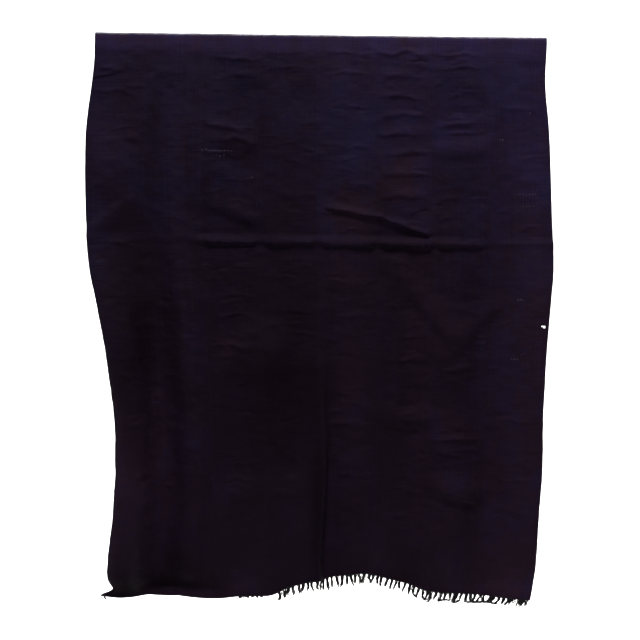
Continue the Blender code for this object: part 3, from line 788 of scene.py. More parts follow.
def soft_noise(noise, across, along):
    """Soft uneven heights either way of zero, with bumps of about one cell."""
    rng = np.random.default_rng(noise.seed)
    grid = rng.uniform(-1.0, 1.0, (NOISE_CELLS, NOISE_CELLS))
    u = across / noise.cell[0] + NOISE_CORNER[0]
    v = along / noise.cell[1] + NOISE_CORNER[1]
    column, row = np.floor(u).astype(int), np.floor(v).astype(int)
    u, v = u - column, v - row
    column, row = column % (NOISE_CELLS - 1), row % (NOISE_CELLS - 1)
    u, v = u * u * (3 - 2 * u), v * v * (3 - 2 * v)
    upper = grid[row, column] * (1 - u) + grid[row, column + 1] * u
    lower = grid[row + 1, column] * (1 - u) + grid[row + 1, column + 1] * u
    return noise.height * (upper * (1 - v) + lower * v)


def fine_relief(across, along, pucker_height):
    """Puckers, sharp creases, cockle and seam grooves, as a height over the main folds."""
    relief = np.zeros(along.shape)
    wide = np.broadcast_to(across, along.shape)
    strays = sum(soft_noise(noise, wide, along) for noise in STRAYS)
    for pucker in (*PUCKERS, *small_puckers()):
        add_pucker(relief, across, along + strays, pucker)
    relief *= 1.0 + soft_noise(PUCKER_CHANGE, wide, along)
    for crease in SHARP_CREASES:
        relief += lip_height(crease, across, along + CREASE_STRAY * strays)
    for noise in COCKLE:
        relief += soft_noise(noise, wide, along)
    relief *= pucker_height
    for seam in STRIP_STARTS[1:-1]:
        relief -= SEAM_GROOVE * np.exp(-((wide - seam) / SEAM_GROOVE_REACH) ** 2)
    return relief


@lru_cache(maxsize=2)
def cloth_lattice(row_pitch, pucker_height):
    """The whole cloth's middle surface, row by row from the front hem to the tail's end."""
    across = np.linspace(0.0, CLOTH_WIDTH, LATTICE_COLUMNS)[np.newaxis, :]
    front_rows = round((FRONT_DROP - STRAIGHT_TOP) / row_pitch)
    nominal = np.linspace(FRONT_DROP, STRAIGHT_TOP, front_rows)[:, np.newaxis]
    ease = smooth_step(nominal, HEM_EASE_FROM, FRONT_DROP)
    along = nominal + (hem_drop(across) - FRONT_DROP) * ease
    down = sum(fold_height(fold, across, along, True) for fold in DOWN_FOLDS)
    cross = sum(fold_height(fold, across, along, False) for fold in CROSS_FOLDS)
    slope = np.gradient(settled(down, along), across[0], axis=1)
    left, right = edge_x(along)
    x = spread_across(left, right, slope)
    front = np.stack((x, -FOLD_RADIUS - settled(down + cross, along), TOP_LINE - along), axis=-1)

    turn = np.linspace(0.0, math.pi, ARC_ROWS + 1)[1:, np.newaxis] + 0 * across
    arc = np.stack((
        x[-1] + 0 * turn,
        -FOLD_RADIUS * np.cos(turn),
        TOP_LINE - STRAIGHT_TOP + FOLD_RADIUS * np.sin(turn),
    ), axis=-1)
    tail_rows = round((TAIL_DROP - STRAIGHT_TOP) / (TAIL_ROW_PITCH * row_pitch))
    tail_drops = np.linspace(STRAIGHT_TOP, TAIL_DROP, tail_rows + 1)[1:, np.newaxis] + 0 * across
    tail = np.stack((
        x[-1] + 0 * tail_drops,
        FOLD_RADIUS + 0 * tail_drops,
        TOP_LINE - tail_drops,
    ), axis=-1)
    points = np.concatenate((front, arc, tail))
    along = np.concatenate((
        along,
        STRAIGHT_TOP - FOLD_RADIUS * turn,
        STRAIGHT_TOP - FOLD_RADIUS * math.pi - (tail_drops - STRAIGHT_TOP),
    ))
    relief = fine_relief(across, along, pucker_height)
    from_top = np.abs(along - STRAIGHT_TOP + FOLD_RADIUS * math.pi / 2)
    kept = RELIEF_ON_BAR + (1.0 - RELIEF_ON_BAR) * smooth_step(from_top, *RELIEF_GROWS)
    points = points + outward(points) * (relief * kept)[..., np.newaxis]
    pull_corner(points, across, along)
    return Lattice(across[0], along, points, outward(points))


def pull_corner(points, across, along):
    """Draws the lower left corner out to a little point, with the edge drawn in above it."""
    from_hem = along - along[:1]
    for pull in CORNER_PULLS:
        near = np.exp(-(across / pull.across) ** 2) * np.exp(-((from_hem + pull.above) / pull.down) ** 2)
        points += (near * (along > PULLS_BELOW))[..., np.newaxis] * np.array(pull.shift)


def take_columns(values, across, places):
    """Reads a lattice's values at places across the cloth."""
    spot = np.interp(places, across, np.arange(len(across)))
    low = np.clip(np.floor(spot).astype(int), 0, len(across) - 2)
    share = spot - low
    if values.ndim == 3:
        share = share[:, np.newaxis]
    return values[:, low] * (1 - share) + values[:, low + 1] * share


def spot_on(lattice, place, drop):
    """Point, outward normal and rightward direction at one place on the cloth."""
    columns = np.array((place,))
    along = take_columns(lattice.along, lattice.across, columns)[:, 0]
    row = np.interp(-drop, -along, np.arange(len(along)))
    low = min(int(row), len(along) - 2)
    share = row - low

    def read(values):
        pair = take_columns(values[low:low + 2], lattice.across, columns)[:, 0]
        return pair[0] * (1 - share) + pair[1] * share

    normal = unit(read(lattice.normals))
    over = unit(np.cross(normal, (0.0, 0.0, 1.0)))
    return read(lattice.points), normal, over * math.copysign(1.0, -normal[1])


def fill_node(tree, node, settings):
    """Sets a node's attributes and sockets, and links each socket that is given an output."""
    for name, value in settings.items():
        if isinstance(value, bpy.types.NodeSocket):
            tree.links.new(value, node.inputs[name])
        elif isinstance(name, str) and hasattr(node, name):
            setattr(node, name, value)
        else:
            node.inputs[name].default_value = value


def add_node(tree, kind, settings, output=0):
    """Adds a node with its settings and links, and gives one of its outputs."""
    node = tree.nodes.new(kind)
    fill_node(tree, node, settings)
    return node.outputs[output]


def new_finish(name):
    """A material with its Principled shader."""
    material = bpy.data.materials.new(name)
    material.use_nodes = True
    return material, material.node_tree, material.node_tree.nodes["Principled BSDF"]


def dye_pattern(tree, place, pattern, strip):
    """Soft noise on the cloth's own map, with bumps of a real size, another on each strip."""
    seed = strip + pattern.seed
    shifted = add_node(tree, "ShaderNodeMapping", {
        "Vector": place, "Location": (seed * PATTERN_SHIFT[0], seed * PATTERN_SHIFT[1], 0.0),
        "Scale": (1.0 / pattern.size[0], 1.0 / pattern.size[1], 1.0)})
    return add_node(tree, "ShaderNodeTexNoise", {
        "noise_dimensions": "2D", "Vector": shifted, "Scale": 1.0, "Detail": pattern.detail,
        "Roughness": 0.55}, "Fac")


def thread_ridges(tree, place, direction, pitch):
    """Rounded ridges of one set of threads, one a pitch."""
    in_threads = add_node(tree, "ShaderNodeMapping", {"Vector": place, "Scale": (1.0 / pitch,) * 3})
    return add_node(tree, "ShaderNodeTexWave", {
        "bands_direction": direction, "wave_profile": "SIN", "Vector": in_threads,
        "Scale": ONE_WAVE, "Distortion": 1.6, "Detail": 1.0, "Detail Scale": 0.25}, "Fac")


def indigo_cotton(colours, sizes, strip):
    """Hand-woven cotton steeped in indigo and beaten with mallets.

    The dye is nearly black and lies in clouds. Near the top of the front it is bluer, a
    painted sheen, and the layout adds painted light and shade to its tone. Beating
    flattens the threads, which gives the raised places a violet shine.
    """
    dye = DYES[strip - 1]
    material, tree, shader = new_finish(f"beaten indigo cotton {strip}")
    place = add_node(tree, "ShaderNodeUVMap", {"uv_map": CLOTH_MAP}, "UV")
    # The layout holds the dye's lean to blue with a painted sheen near the top, and painted light and shade
    layout = add_node(tree, "ShaderNodeAttribute", {"attribute_name": DYE_AND_PAINTED_LIGHT_MAP}, "Color")
    dye_and_painted_sheen_blue = add_node(tree, "ShaderNodeSeparateColor", {"Color": layout}, "Red")
    painted_light_layout = dye_and_painted_sheen_blue.node.outputs["Green"]
    clouds, blots, warp_streaks, weft_streaks = [
        dye_pattern(tree, place, pattern, strip)
        for pattern in (CLOUDS, BLOTS, WARP_STREAKS, WEFT_STREAKS)]

    blue = add_node(tree, "ShaderNodeMath", {"operation": "ADD", 0: dye_and_painted_sheen_blue, 1: dye.blue - WARMTH})
    for pattern, reach in ((clouds, CLOUD_BLUE), (blots, BLOT_BLUE)):
        lean = add_node(tree, "ShaderNodeMapRange", {
            "Value": pattern, "From Min": 0.30, "From Max": 0.70, "To Min": -reach, "To Max": reach})
        blue = add_node(tree, "ShaderNodeMath", {"operation": "ADD", 0: blue, 1: lean})
    blue = add_node(tree, "ShaderNodeMapRange", {"Value": blue})
    hue = add_node(tree, "ShaderNodeMix", {
        "data_type": "RGBA", 0: blue, 6: (*colours.indigo_red, 1.0), 7: (*colours.indigo_blue, 1.0)}, 2)

    lights = (
        (warp_streaks, 0.25, (1.0 - dye.streaks, 1.0 + dye.streaks)),
        (weft_streaks, 0.25, WEFT_LIGHT),
        (clouds, 0.30, CLOUD_LIGHT),
    )
    factors = [
        add_node(tree, "ShaderNodeMapRange", {
            "Value": pattern, "From Min": low, "From Max": 1.0 - low, "To Min": dim, "To Max": bright})
        for pattern, low, (dim, bright) in lights]
    # Painted light and shade from the layout scale the dye's tone
    painted_light_level = add_node(tree, "ShaderNodeMath", {"operation": "ADD", 0: painted_light_layout, 1: PLAIN})
    painted_light_factor = add_node(tree, "ShaderNodeMath", {"operation": "MULTIPLY", 0: painted_light_level, 1: painted_light_level})
    lightness = factors[0]
    for factor in (*factors[1:], dye.light, painted_light_factor):
        lightness = add_node(tree, "ShaderNodeMath", {"operation": "MULTIPLY", 0: lightness, 1: factor})
    tone = add_node(tree, "ShaderNodeVectorMath", {"operation": "SCALE", 0: hue, "Scale": lightness})
    roughness = add_node(tree, "ShaderNodeMapRange", {
        "Value": blots, "From Min": 0.25, "From Max": 0.75,
        "To Min": BLOT_ROUGHNESS[0], "To Max": BLOT_ROUGHNESS[1]})

    warp = thread_ridges(tree, place, "X", sizes.warp_pitch)
    weft = thread_ridges(tree, place, "Y", sizes.weft_pitch)
    threads = add_node(tree, "ShaderNodeMath", {"operation": "ADD", 0: warp, 1: weft})
    surface = add_node(tree, "ShaderNodeMath", {"operation": "MULTIPLY", 0: threads, 1: 0.5})
    slubs = add_node(tree, "ShaderNodeMath", {"operation": "ADD", 0: warp_streaks, 1: weft_streaks})
    for pattern, height in ((slubs, SLUB_HEIGHT), (blots, BLOT_HEIGHT)):
        raised = add_node(tree, "ShaderNodeMath", {"operation": "MULTIPLY", 0: pattern, 1: height})
        surface = add_node(tree, "ShaderNodeMath", {"operation": "ADD", 0: surface, 1: raised})
    bump = add_node(tree, "ShaderNodeBump", {"Height": surface, "Strength": 0.9, "Distance": 0.00030})
    fill_node(tree, shader, {
        "Base Color": tone, "Roughness": roughness, "Normal": bump,
        "Specular IOR Level": 0.10, "Specular Tint": (*colours.burnish, 1.0),
        "Sheen Weight": 0.003, "Sheen Roughness": 0.45, "Sheen Tint": (*colours.burnish, 1.0)})
    return material


def spun_cotton(name, colour, pitch):
    """Hand-spun cotton yarn or thread: matt and fuzzy, with its twist as fine ridges."""
    material, tree, shader = new_finish(name)
    place = add_node(tree, "ShaderNodeTexCoord", {}, "Object")
    twist = add_node(tree, "ShaderNodeTexNoise", {
        "Vector": place, "Scale": 1.0 / pitch, "Detail": 2.0}, "Fac")
    tone = add_node(tree, "ShaderNodeMapRange", {
        "Value": twist, "From Min": 0.25, "From Max": 0.75, "To Min": 0.7, "To Max": 1.3})
    tint = add_node(tree, "ShaderNodeVectorMath", {"operation": "SCALE", 0: colour, "Scale": tone})
    bump = add_node(tree, "ShaderNodeBump", {"Height": twist, "Strength": 0.6, "Distance": 0.0002})
    fill_node(tree, shader, {
        "Base Color": tint, "Normal": bump, "Roughness": 0.85, "Specular IOR Level": 0.12,
        "Sheen Weight": 0.08})
    return material


def new_piece(name, points, faces, material):
    """A mesh object at the origin with smooth faces."""
    mesh = bpy.data.meshes.new(name)
    mesh.from_pydata(np.asarray(points).tolist(), [], faces)
    mesh.validate()
    mesh.shade_smooth()
    mesh.materials.append(material)
    piece = bpy.data.objects.new(name, mesh)
    bpy.context.collection.objects.link(piece)
    return piece


def add_wall(piece, thickness):
    """Gives a sheet its thickness, half on each side."""
    wall = piece.modifiers.new("cloth thickness", "SOLIDIFY")
    wall.thickness = thickness
    wall.offset = 0.0
    bpy.ops.object.select_all(action="DESELECT")
    bpy.context.view_layer.objects.active = piece
    piece.select_set(True)
    bpy.ops.object.modifier_apply(modifier=wall.name)
    bpy.ops.object.shade_smooth_by_angle(angle=SELVAGE_ANGLE)


def map_cloth(piece, places, drops):
    """Writes the cloth's own map: across and drop in metres, so that patterns follow it."""
    layer = piece.data.uv_layers.new(name=CLOTH_MAP)
    corners = np.empty(len(piece.data.loops), dtype=np.int32)
    piece.data.loops.foreach_get("vertex_index", corners)
    spots = np.stack((places[corners], drops[corners]), axis=1)
    layer.uv.foreach_set("vector", spots.astype(np.float32).ravel())


def dye_and_painted_light_layout(places, drops):
    """The dye's lean to blue, with a painted bluish sheen near the top, and painted light and shade: a
    highlight along the top fold and the patches' light; each at its middle where it is plain.
    """
    # A painted bluish sheen near the top, and a painted highlight along the top fold
    blue = TOP_PAINTED_SHEEN_BLUE * (1.0 - smooth_step(drops, *TOP_PAINTED_SHEEN_FADES)) - WARMTH
    light = TOP_PAINTED_HIGHLIGHT * np.exp(-((drops - TOP_PAINTED_HIGHLIGHT_DROP) / TOP_PAINTED_HIGHLIGHT_REACH) ** 2)
    # Each patch leans the dye's hue and adds painted light and shade
    for dye_and_light_patch in DYE_AND_PAINTED_LIGHT_PATCHES:
        aside = (places - dye_and_light_patch.across) / dye_and_light_patch.width
        below = (drops - dye_and_light_patch.drop) / dye_and_light_patch.height
        share = np.exp(-(aside ** 2 + below ** 2))
        blue = blue + dye_and_light_patch.blue * share
        light = light + dye_and_light_patch.light * share
    return np.clip(PLAIN + blue, 0.0, 1.0), np.clip(PLAIN + light, 0.0, 1.0)


def map_dye_and_painted_light(piece, places, drops):
    """Writes the dye's lean to blue, with its painted sheen, and the painted light and shade at every point
    of a piece.
    """
    blue, light = dye_and_painted_light_layout(places, drops)
    layer = piece.data.attributes.new(DYE_AND_PAINTED_LIGHT_MAP, "FLOAT_COLOR", "POINT")
    values = np.stack((blue, light, blue, np.ones(len(blue))), axis=1)
    layer.data.foreach_set("color", values.astype(np.float32).ravel())


def strip_span(number):
    """Where one strip starts and ends across the woven width."""
    return STRIP_STARTS[number - 1], STRIP_STARTS[number]


def grid_faces(rows, columns):
    """Faces of a grid of points that is stored row by row, turned outwards."""
    faces = []
    for row in range(rows - 1):
        base = row * columns
        for column in range(columns - 1):
            start = base + column
            faces.append((start, start + 1, start + 1 + columns, start + columns))
    return faces


def in_hole(place, drop):
    """Whether a point of the cloth lies in one of its worn holes."""
    for hole in HOLES:
        ragged = 1.0 + HOLE_RAG * math.sin(RAG_WAVES[0] * place + RAG_WAVES[1] * drop)
        aside = (place - hole.across) / hole.width
        if math.hypot(aside, (drop - hole.drop) / hole.height) < ragged / 2:
            return True
    return False


def sheet_grid(lattice, first_row, last_row, places):
    """Points, places and drops of part of the lattice, as flat arrays, and its faces."""
    rows = slice(first_row, last_row)
    points = take_columns(lattice.points[rows], lattice.across, places)
    drops = take_columns(lattice.along[rows], lattice.across, places)
    count = len(points)
    faces = grid_faces(count, len(places))
    return points.reshape(-1, 3), np.tile(places, count), drops.ravel(), faces


def current_lattice(context):
    """The lattice for the sizes that are set now."""
    sizes = context.scene.mud_cloth_sizes
    return cloth_lattice(sizes.row_pitch, sizes.pucker_height)


class MUDCLOTH_OT_weave_strips(bpy.types.Operator):
    """Weave the eight strips of cloth, in the folds that they hang in"""

    bl_idname = "mud_cloth.weave_strips"
    bl_label = "Weave Strips"

    def execute(self, context):
        sizes = context.scene.mud_cloth_sizes
        colours = context.scene.mud_cloth_colours
        lattice = current_lattice(context)
        for number in STRIPS:
            start, end = strip_span(number)
            places = np.linspace(start, end, sizes.cells_across + 1)
            first_row = HEM_ROWS_IN_BAND if number in FRINGED_STRIPS else 0
            points, across, drops, faces = sheet_grid(lattice, first_row, None, places)
            if any(start < hole.across < end for hole in HOLES):
                middles = [np.mean([(across[i], drops[i]) for i in face], axis=0) for face in faces]
                faces = [face for face, middle in zip(faces, middles) if not in_hole(*middle)]
            material = indigo_cotton(colours, sizes, number)
            strip = new_piece(f"strip_{number}", points, faces, material)
            map_cloth(strip, across, drops)
            map_dye_and_painted_light(strip, across, drops)
            add_wall(strip, sizes.cloth_thickness)
            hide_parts(f"panel_{number}")
            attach(strip, "root")
        return {"FINISHED"}


def tube(points, sideways, outwards, sides, closed):
    """A tube round a line of points; the two vector lists hold its half width and half depth."""
    turns = np.linspace(0.0, 2 * np.pi, sides, endpoint=False)
    rings = [points + math.cos(turn) * sideways + math.sin(turn) * outwards for turn in turns]
    verts = np.stack(rings, axis=1).reshape(-1, 3)
    count = len(points)
    faces = []
    for ring in range(count if closed else count - 1):
        here, there = ring * sides, (ring + 1) % count * sides
        for side in range(sides):
            after = (side + 1) % sides
            faces.append((here + side, there + side, there + after, here + after))
    if not closed:
        faces.append(tuple(range(sides)))
        faces.append(tuple(reversed(range((count - 1) * sides, count * sides))))
    return verts, faces


def join_parts(parts):
    """Joins lists of points and faces into one."""
    points, faces, start = [], [], 0
    for part_points, part_faces in parts:
        points.append(part_points)
        faces += [tuple(start + corner for corner in face) for face in part_faces]
        start += len(part_points)
    return np.concatenate(points), faces


def yarn_piece(name, parts, material):
    """A piece of many stitches or yarns, attached to the root body."""
    piece = new_piece(name, *join_parts(parts), material)
    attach(piece, "root")


def whip_stitch(point, normal, over, half_width, half_depth, thread, lean):
    """One stitch round a seam or an edge: a slanted ring of thread."""
    turns = np.linspace(0.0, 2 * np.pi, STITCH_CORNERS, endpoint=False)[:, np.newaxis]
    down = np.cross(over, normal)
    ring = (point + np.cos(turns) * half_width * over + np.sin(turns) * half_depth * normal
            + np.cos(turns) * lean * down)
    away = unit(ring - point)
    along = unit(np.roll(ring, -1, axis=0) - np.roll(ring, 1, axis=0))
    return tube(ring, away * thread, np.cross(along, away) * thread, STITCH_SIDES, True)


def stitches_along(lattice, place, drops, sizes, whip, seed):
    """Whip stitches down one line of the cloth, a little uneven."""
    rng = np.random.default_rng(seed)
    thread = sizes.stitch_thread
    parts = []
    for drop in drops:
        point, normal, over = spot_on(lattice, place, drop + rng.normal(0.0, STITCH_STRAY))
        width = whip.half_width * rng.uniform(*STITCH_WIDTHS)
        depth = sizes.cloth_thickness / 2 + thread * rng.uniform(*STITCH_LIFTS)
        lean = whip.lean * rng.uniform(*STITCH_LEANS)
        parts.append(whip_stitch(point, normal, over, width, depth, thread, lean))
    return parts


def seam_core(lattice, place, sizes):
    """The two selvages drawn together under the stitches, as a slim cord along the seam."""
    columns = np.array((place,))
    points = take_columns(lattice.points, lattice.across, columns)[:, 0]
    normals = unit(take_columns(lattice.normals, lattice.across, columns)[:, 0])
    run = unit(np.gradient(points, axis=0))
    sideways = unit(np.cross(normals, run)) * SEAM_CORE_HALF_WIDTH
    return tube(points, sideways, normals * sizes.cloth_thickness * SEAM_CORE_DEPTH, THREAD_SIDES, False)


class MUDCLOTH_OT_sew_seams(bpy.types.Operator):
    """Sew the strips together and whip the right selvage"""

    bl_idname = "mud_cloth.sew_seams"
    bl_label = "Sew Seams"

    def execute(self, context):
        sizes = context.scene.mud_cloth_sizes
        lattice = current_lattice(context)
        colour = context.scene.mud_cloth_colours.thread
        material = spun_cotton("indigo sewing thread", colour, SEWING_TWIST)
        tail_end = float(lattice.along[-1, 0])
        for number, place in enumerate(STRIP_STARTS[1:-1], start=1):
            hem = float(hem_drop(place)) - BAND_HEIGHT
            drops = np.arange(tail_end + SEAM_ENDS_SHORT, hem, sizes.stitch_pitch)
            parts = [seam_core(lattice, place, sizes)]
            parts += stitches_along(lattice, place, drops, sizes, SEAM_WHIP, number)
            yarn_piece(f"seam_{number}", parts, material)
        drops = np.arange(*SELVAGE_WHIPPED, sizes.stitch_pitch * SELVAGE_PITCH)
        place = CLOTH_WIDTH - SELVAGE_INSET
        parts = stitches_along(lattice, place, drops, sizes, SELVAGE_WHIP, SELVAGE_SEED)
        yarn_piece("selvage_whipping", parts, material)
        return {"FINISHED"}


def loose_yarn(root, down, over, out, length, radius, rng):
    """One loose warp yarn: it sways as it falls and thins to a frayed tip."""
    steps = max(FEWEST_STEPS, round(length / LOOSE_STEP))
    share = np.linspace(0.0, 1.0, steps + 1)[:, np.newaxis]
    sway = rng.normal(0.0, LOOSE_SWAY, 2)
    curl = rng.uniform(*LOOSE_CURLS, 2) * radius * LOOSE_CURL_SIZE
    phase = rng.uniform(0.0, TURN)
    side = sway[0] * length * share ** SWAY_POWER + curl[0] * np.sin(phase + LOOSE_WAVES[0] * share)
    front = sway[1] * length * share ** 2 + curl[1] * np.cos(phase + LOOSE_WAVES[1] * share)
    points = root + down * length * share + over * side + out * front
    width = radius * (1.0 - LOOSE_THINS * smooth_step(share, LOOSE_THINS_FROM, 1.0))
    return tube(points, over * width, out * width, YARN_SIDES, False)


def fringe_frame(lattice, place):
    """Hem point under a place, with the directions down, right and out of the cloth."""
    hem = float(hem_drop(place))
    point, normal, over = spot_on(lattice, place, hem - HEM_INSET)
    above, _, _ = spot_on(lattice, place, hem - HEM_RUN)
    return point, unit(point - above), over, normal


def lock_of_yarns(lattice, place, length, lean, sizes, rng):
    """A lock: several warp yarns that start side by side and cling together as they fall."""
    point, down, over, out = fringe_frame(lattice, place)
    share = np.linspace(0.0, 1.0, LOCK_STEPS + 1)[:, np.newaxis]
    lean, bend = lean + rng.normal(0.0, LOCK_LEAN), rng.normal(0.0, LOCK_BEND)
    side = lean * length * share ** LEAN_POWER + bend * np.sin(np.pi * BEND_WAVES * share)
    front = rng.normal(0.0, LOCK_FRONT) * length * share ** 2
    spine = point + down * (length * share - HELD_IN_HEM) + over * side + out * front
    turn, phase = rng.uniform(*LOCK_TWISTS), rng.uniform(0.0, TURN)
    half_width = LOCK_HALF_WIDTH * rng.uniform(*LOCK_WIDTHS)
    root = 1.0 + ROOT_SPREAD - ROOT_SPREAD * smooth_step(share, 0.0, ROOT_SPREAD)
    spread = half_width * (root - LOCK_TAPER * share)
    parts = []
    for yarn in range(YARNS_PER_LOCK):
        angle = phase + TURN * yarn / YARNS_PER_LOCK + turn * share
        from_core = spread * (CORE_SPREAD if yarn % CORE_EVERY == 0 else 1.0)
        path = spine + over * np.cos(angle) * from_core + out * np.sin(angle) * from_core * LOCK_FLATNESS
        reach = rng.uniform(*YARN_LENGTHS)
        swing = rng.uniform(*YARN_SWAYS, 2)
        sway = swing * np.sin(rng.uniform(*YARN_WAVES) * share + TURN * rng.random(2))
        fray = rng.normal(0.0, YARN_FRAY, 2) * share ** 3
        path = path + over * (sway + fray)[:, :1] + out * (sway + fray)[:, 1:]
        path = path - down * length * (1.0 - reach) * share
        width = sizes.yarn_radius * (1.0 - YARN_THINS * smooth_step(share, YARN_THINS_FROM, 1.0))
        parts.append(tube(path, over * width, out * width, YARN_SIDES, False))
    return parts, spine[-2]


def row_of_locks(lattice, fringe, first, end, sizes, rng):
    """The locks of one strip, side by side, with the threads that catch some of their tips."""
    count = max(FEWEST_LOCKS, round(LOCKS_PER_STRIP * (end - first) / STRIP_WIDTHS[0]))
    pitch = (end - first) / count
    parts, tips = [], []
    for lock in range(count):
        place = first + pitch * (lock + 0.5) + rng.normal(0.0, LOCK_STRAY)
        length = fringe.length * rng.uniform(*LOCK_LENGTHS)
        lock_parts, tip = lock_of_yarns(lattice, place, length, fringe.lean, sizes, rng)
        parts += lock_parts
        tips.append(tip)
    for caught in CAUGHT_TIPS:
        if caught.strip == fringe.strip:
            parts += caught_threads(tips[caught.first:caught.last + 1], sizes, rng)
    return parts


def caught_threads(tips, sizes, rng):
    """Loose weft threads that hang along the tips of some locks and draw them together."""
    places = np.arange(len(tips))
    steps = np.linspace(0, len(tips) - 1, CAUGHT_STEPS * (len(tips) - 1) + 1)
    line = np.array([np.interp(steps, places, values) for values in np.array(tips).T]).T
    dip = np.abs(np.sin(np.pi * steps))[:, np.newaxis]
    radius = sizes.yarn_radius
    parts = []
    for _ in range(CAUGHT_THREADS):
        shift = rng.normal(0.0, CAUGHT_SHIFT, 3)
        wave = rng.normal(0.0, CAUGHT_WAVE, (len(steps), 3))
        path = line + shift + wave + np.array((0.0, 0.0, rng.normal(*CAUGHT_RISE))) * dip
        run = unit(np.gradient(path, axis=0))
        level = unit(np.cross(run, (0.0, 0.0, 1.0)))
        parts.append(tube(path, level * radius, np.cross(level, run) * radius, YARN_SIDES, False))
    return parts


def stray_yarn(lattice, fringe, first, end, sizes, rng):
    """One short yarn that stands off by itself between the locks of a strip."""
    point, down, over, out = fringe_frame(lattice, rng.uniform(first, end))
    length = HELD_IN_HEM + fringe.length * STRAY_REACH * rng.uniform(*STRAY_SHARES)
    root = point - down * HELD_IN_HEM
    run = unit(down + over * rng.normal(0.0, STRAY_LEAN))
    return loose_yarn(root, run, over, out, length, sizes.yarn_radius * STRAY_THICKNESS, rng)


class MUDCLOTH_OT_hang_fringe(bpy.types.Operator):
    """Add the last picks of the weave and the loose warp yarns under strips 3 to 8"""

    bl_idname = "mud_cloth.hang_fringe"
    bl_label = "Hang Fringe"

    def execute(self, context):
        sizes = context.scene.mud_cloth_sizes
        colours = context.scene.mud_cloth_colours
        lattice = current_lattice(context)
        rng = np.random.default_rng(FRINGE_SEED)
        yarn = spun_cotton("indigo fringe yarn", colours.yarn, FRINGE_TWIST)
        for fringe in FRINGES:
            start, end = strip_span(fringe.strip)
            first = start + (end - start) * fringe.locks_from
            picks = self.last_picks(lattice, fringe.strip, sizes, colours)
            parts = row_of_locks(lattice, fringe, first, end, sizes, rng)
            for _ in range(round(STRAY_YARNS_PER_STRIP * (end - first) / (end - start))):
                parts.append(stray_yarn(lattice, fringe, first, end, sizes, rng))
            locks = new_piece(f"fringe_locks_{fringe.strip}", *join_parts(parts), yarn)
            for piece in (picks, locks):
                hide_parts(f"fringe_{fringe.strip}")
                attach(piece, "root")
        return {"FINISHED"}

    @staticmethod
    def last_picks(lattice, strip, sizes, colours):
        """The narrow band of loose picks between a strip and its locks."""
        places = np.linspace(*strip_span(strip), 2 * sizes.cells_across + 1)
        points, across, drops, faces = sheet_grid(lattice, 0, HEM_ROWS_IN_BAND + 2, places)
        material = indigo_cotton(colours, sizes, strip)
        picks = new_piece(f"fringe_picks_{strip}", points, faces, material)
        map_cloth(picks, across, drops)
        map_dye_and_painted_light(picks, across, drops)
        add_wall(picks, sizes.cloth_thickness * PICKS_THICKNESS)
        return picks


def straight_stitch(point, normal, along, length, thread):
    """One short stitch that lies on the cloth and dips in at both ends."""
    share = np.linspace(-1.0, 1.0, MEND_STEPS)[:, np.newaxis]
    lift = MEND_ARCH * (1.0 - share ** 2) + MEND_LIFT
    points = point + along * share * length / 2 + normal * lift
    side = np.cross(normal, along)
    return tube(points, side * thread + 0 * share, normal * thread + 0 * share, THREAD_SIDES, False)


def row_of_mends(lattice, mend, thread, rng):
    """One row of mending stitches, a little uneven."""
    parts = []
    for stitch in range(mend.count):
        place = mend.across + stitch * mend.pitch
        point, normal, over = spot_on(lattice, place, mend.drop + rng.normal(0.0, MEND_STRAY))
        slant = mend.slant + rng.normal(0.0, MEND_SLANT)
        along = over * math.cos(slant) - np.cross(over, normal) * math.sin(slant)
        length = mend.length * rng.uniform(*MEND_LENGTHS)
        parts.append(straight_stitch(point, normal, along, length, thread))
    return parts


def corner_tuft(lattice, tuft, radius, rng):
    """Pulled threads that hang from one place near a corner."""
    point, down, over, out = fringe_frame(lattice, tuft.across)
    parts = []
    for _ in range(YARNS_PER_TUFT):
        run = unit(down + over * (tuft.lean + rng.normal(0.0, TUFT_LEAN)))
        length = tuft.length * rng.uniform(*TUFT_LENGTHS)
        parts.append(loose_yarn(point - down * HELD_IN_HEM, run, over, out, length, radius, rng))
    return parts


class MUDCLOTH_OT_mend_cloth(bpy.types.Operator):
    """Add the pale mending stitches and lint, and the thread ends at the corners"""

    bl_idname = "mud_cloth.mend_cloth"
    bl_label = "Mend Cloth"

    def execute(self, context):
        sizes = context.scene.mud_cloth_sizes
        colours = context.scene.mud_cloth_colours
        lattice = current_lattice(context)
        rng = np.random.default_rng(MEND_SEED)
        thread = sizes.stitch_thread * MEND_THICKNESS
        stitches = [part for mend in MENDS for part in row_of_mends(lattice, mend, thread, rng)]
        pale = spun_cotton("undyed mending thread", colours.pale_thread, MENDING_TWIST)
        yarn_piece("mending_stitches", stitches, pale)
        radius = sizes.yarn_radius
        tufts = [part for tuft in CORNER_TUFTS for part in corner_tuft(lattice, tuft, radius, rng)]
        yarn = spun_cotton("indigo corner threads", colours.yarn, FRINGE_TWIST)
        yarn_piece("corner_threads", tufts, yarn)
        return {"FINISHED"}


def white_paper(colour):
    """Matt white paper: evenly pale, so that nothing competes with the dark cloth."""
    material, tree, shader = new_finish("matt white paper")
    place = add_node(tree, "ShaderNodeTexCoord", {}, "Object")
    grain = add_node(tree, "ShaderNodeTexNoise", {"Vector": place, "Scale": 300.0, "Detail": 2.0}, "Fac")
    tone = add_node(tree, "ShaderNodeMapRange", {"Value": grain, "To Min": 0.98})
    tint = add_node(tree, "ShaderNodeVectorMath", {"operation": "SCALE", 0: colour, "Scale": tone})
    fill_node(tree, shader, {"Base Color": tint, "Roughness": 0.9})
    return material


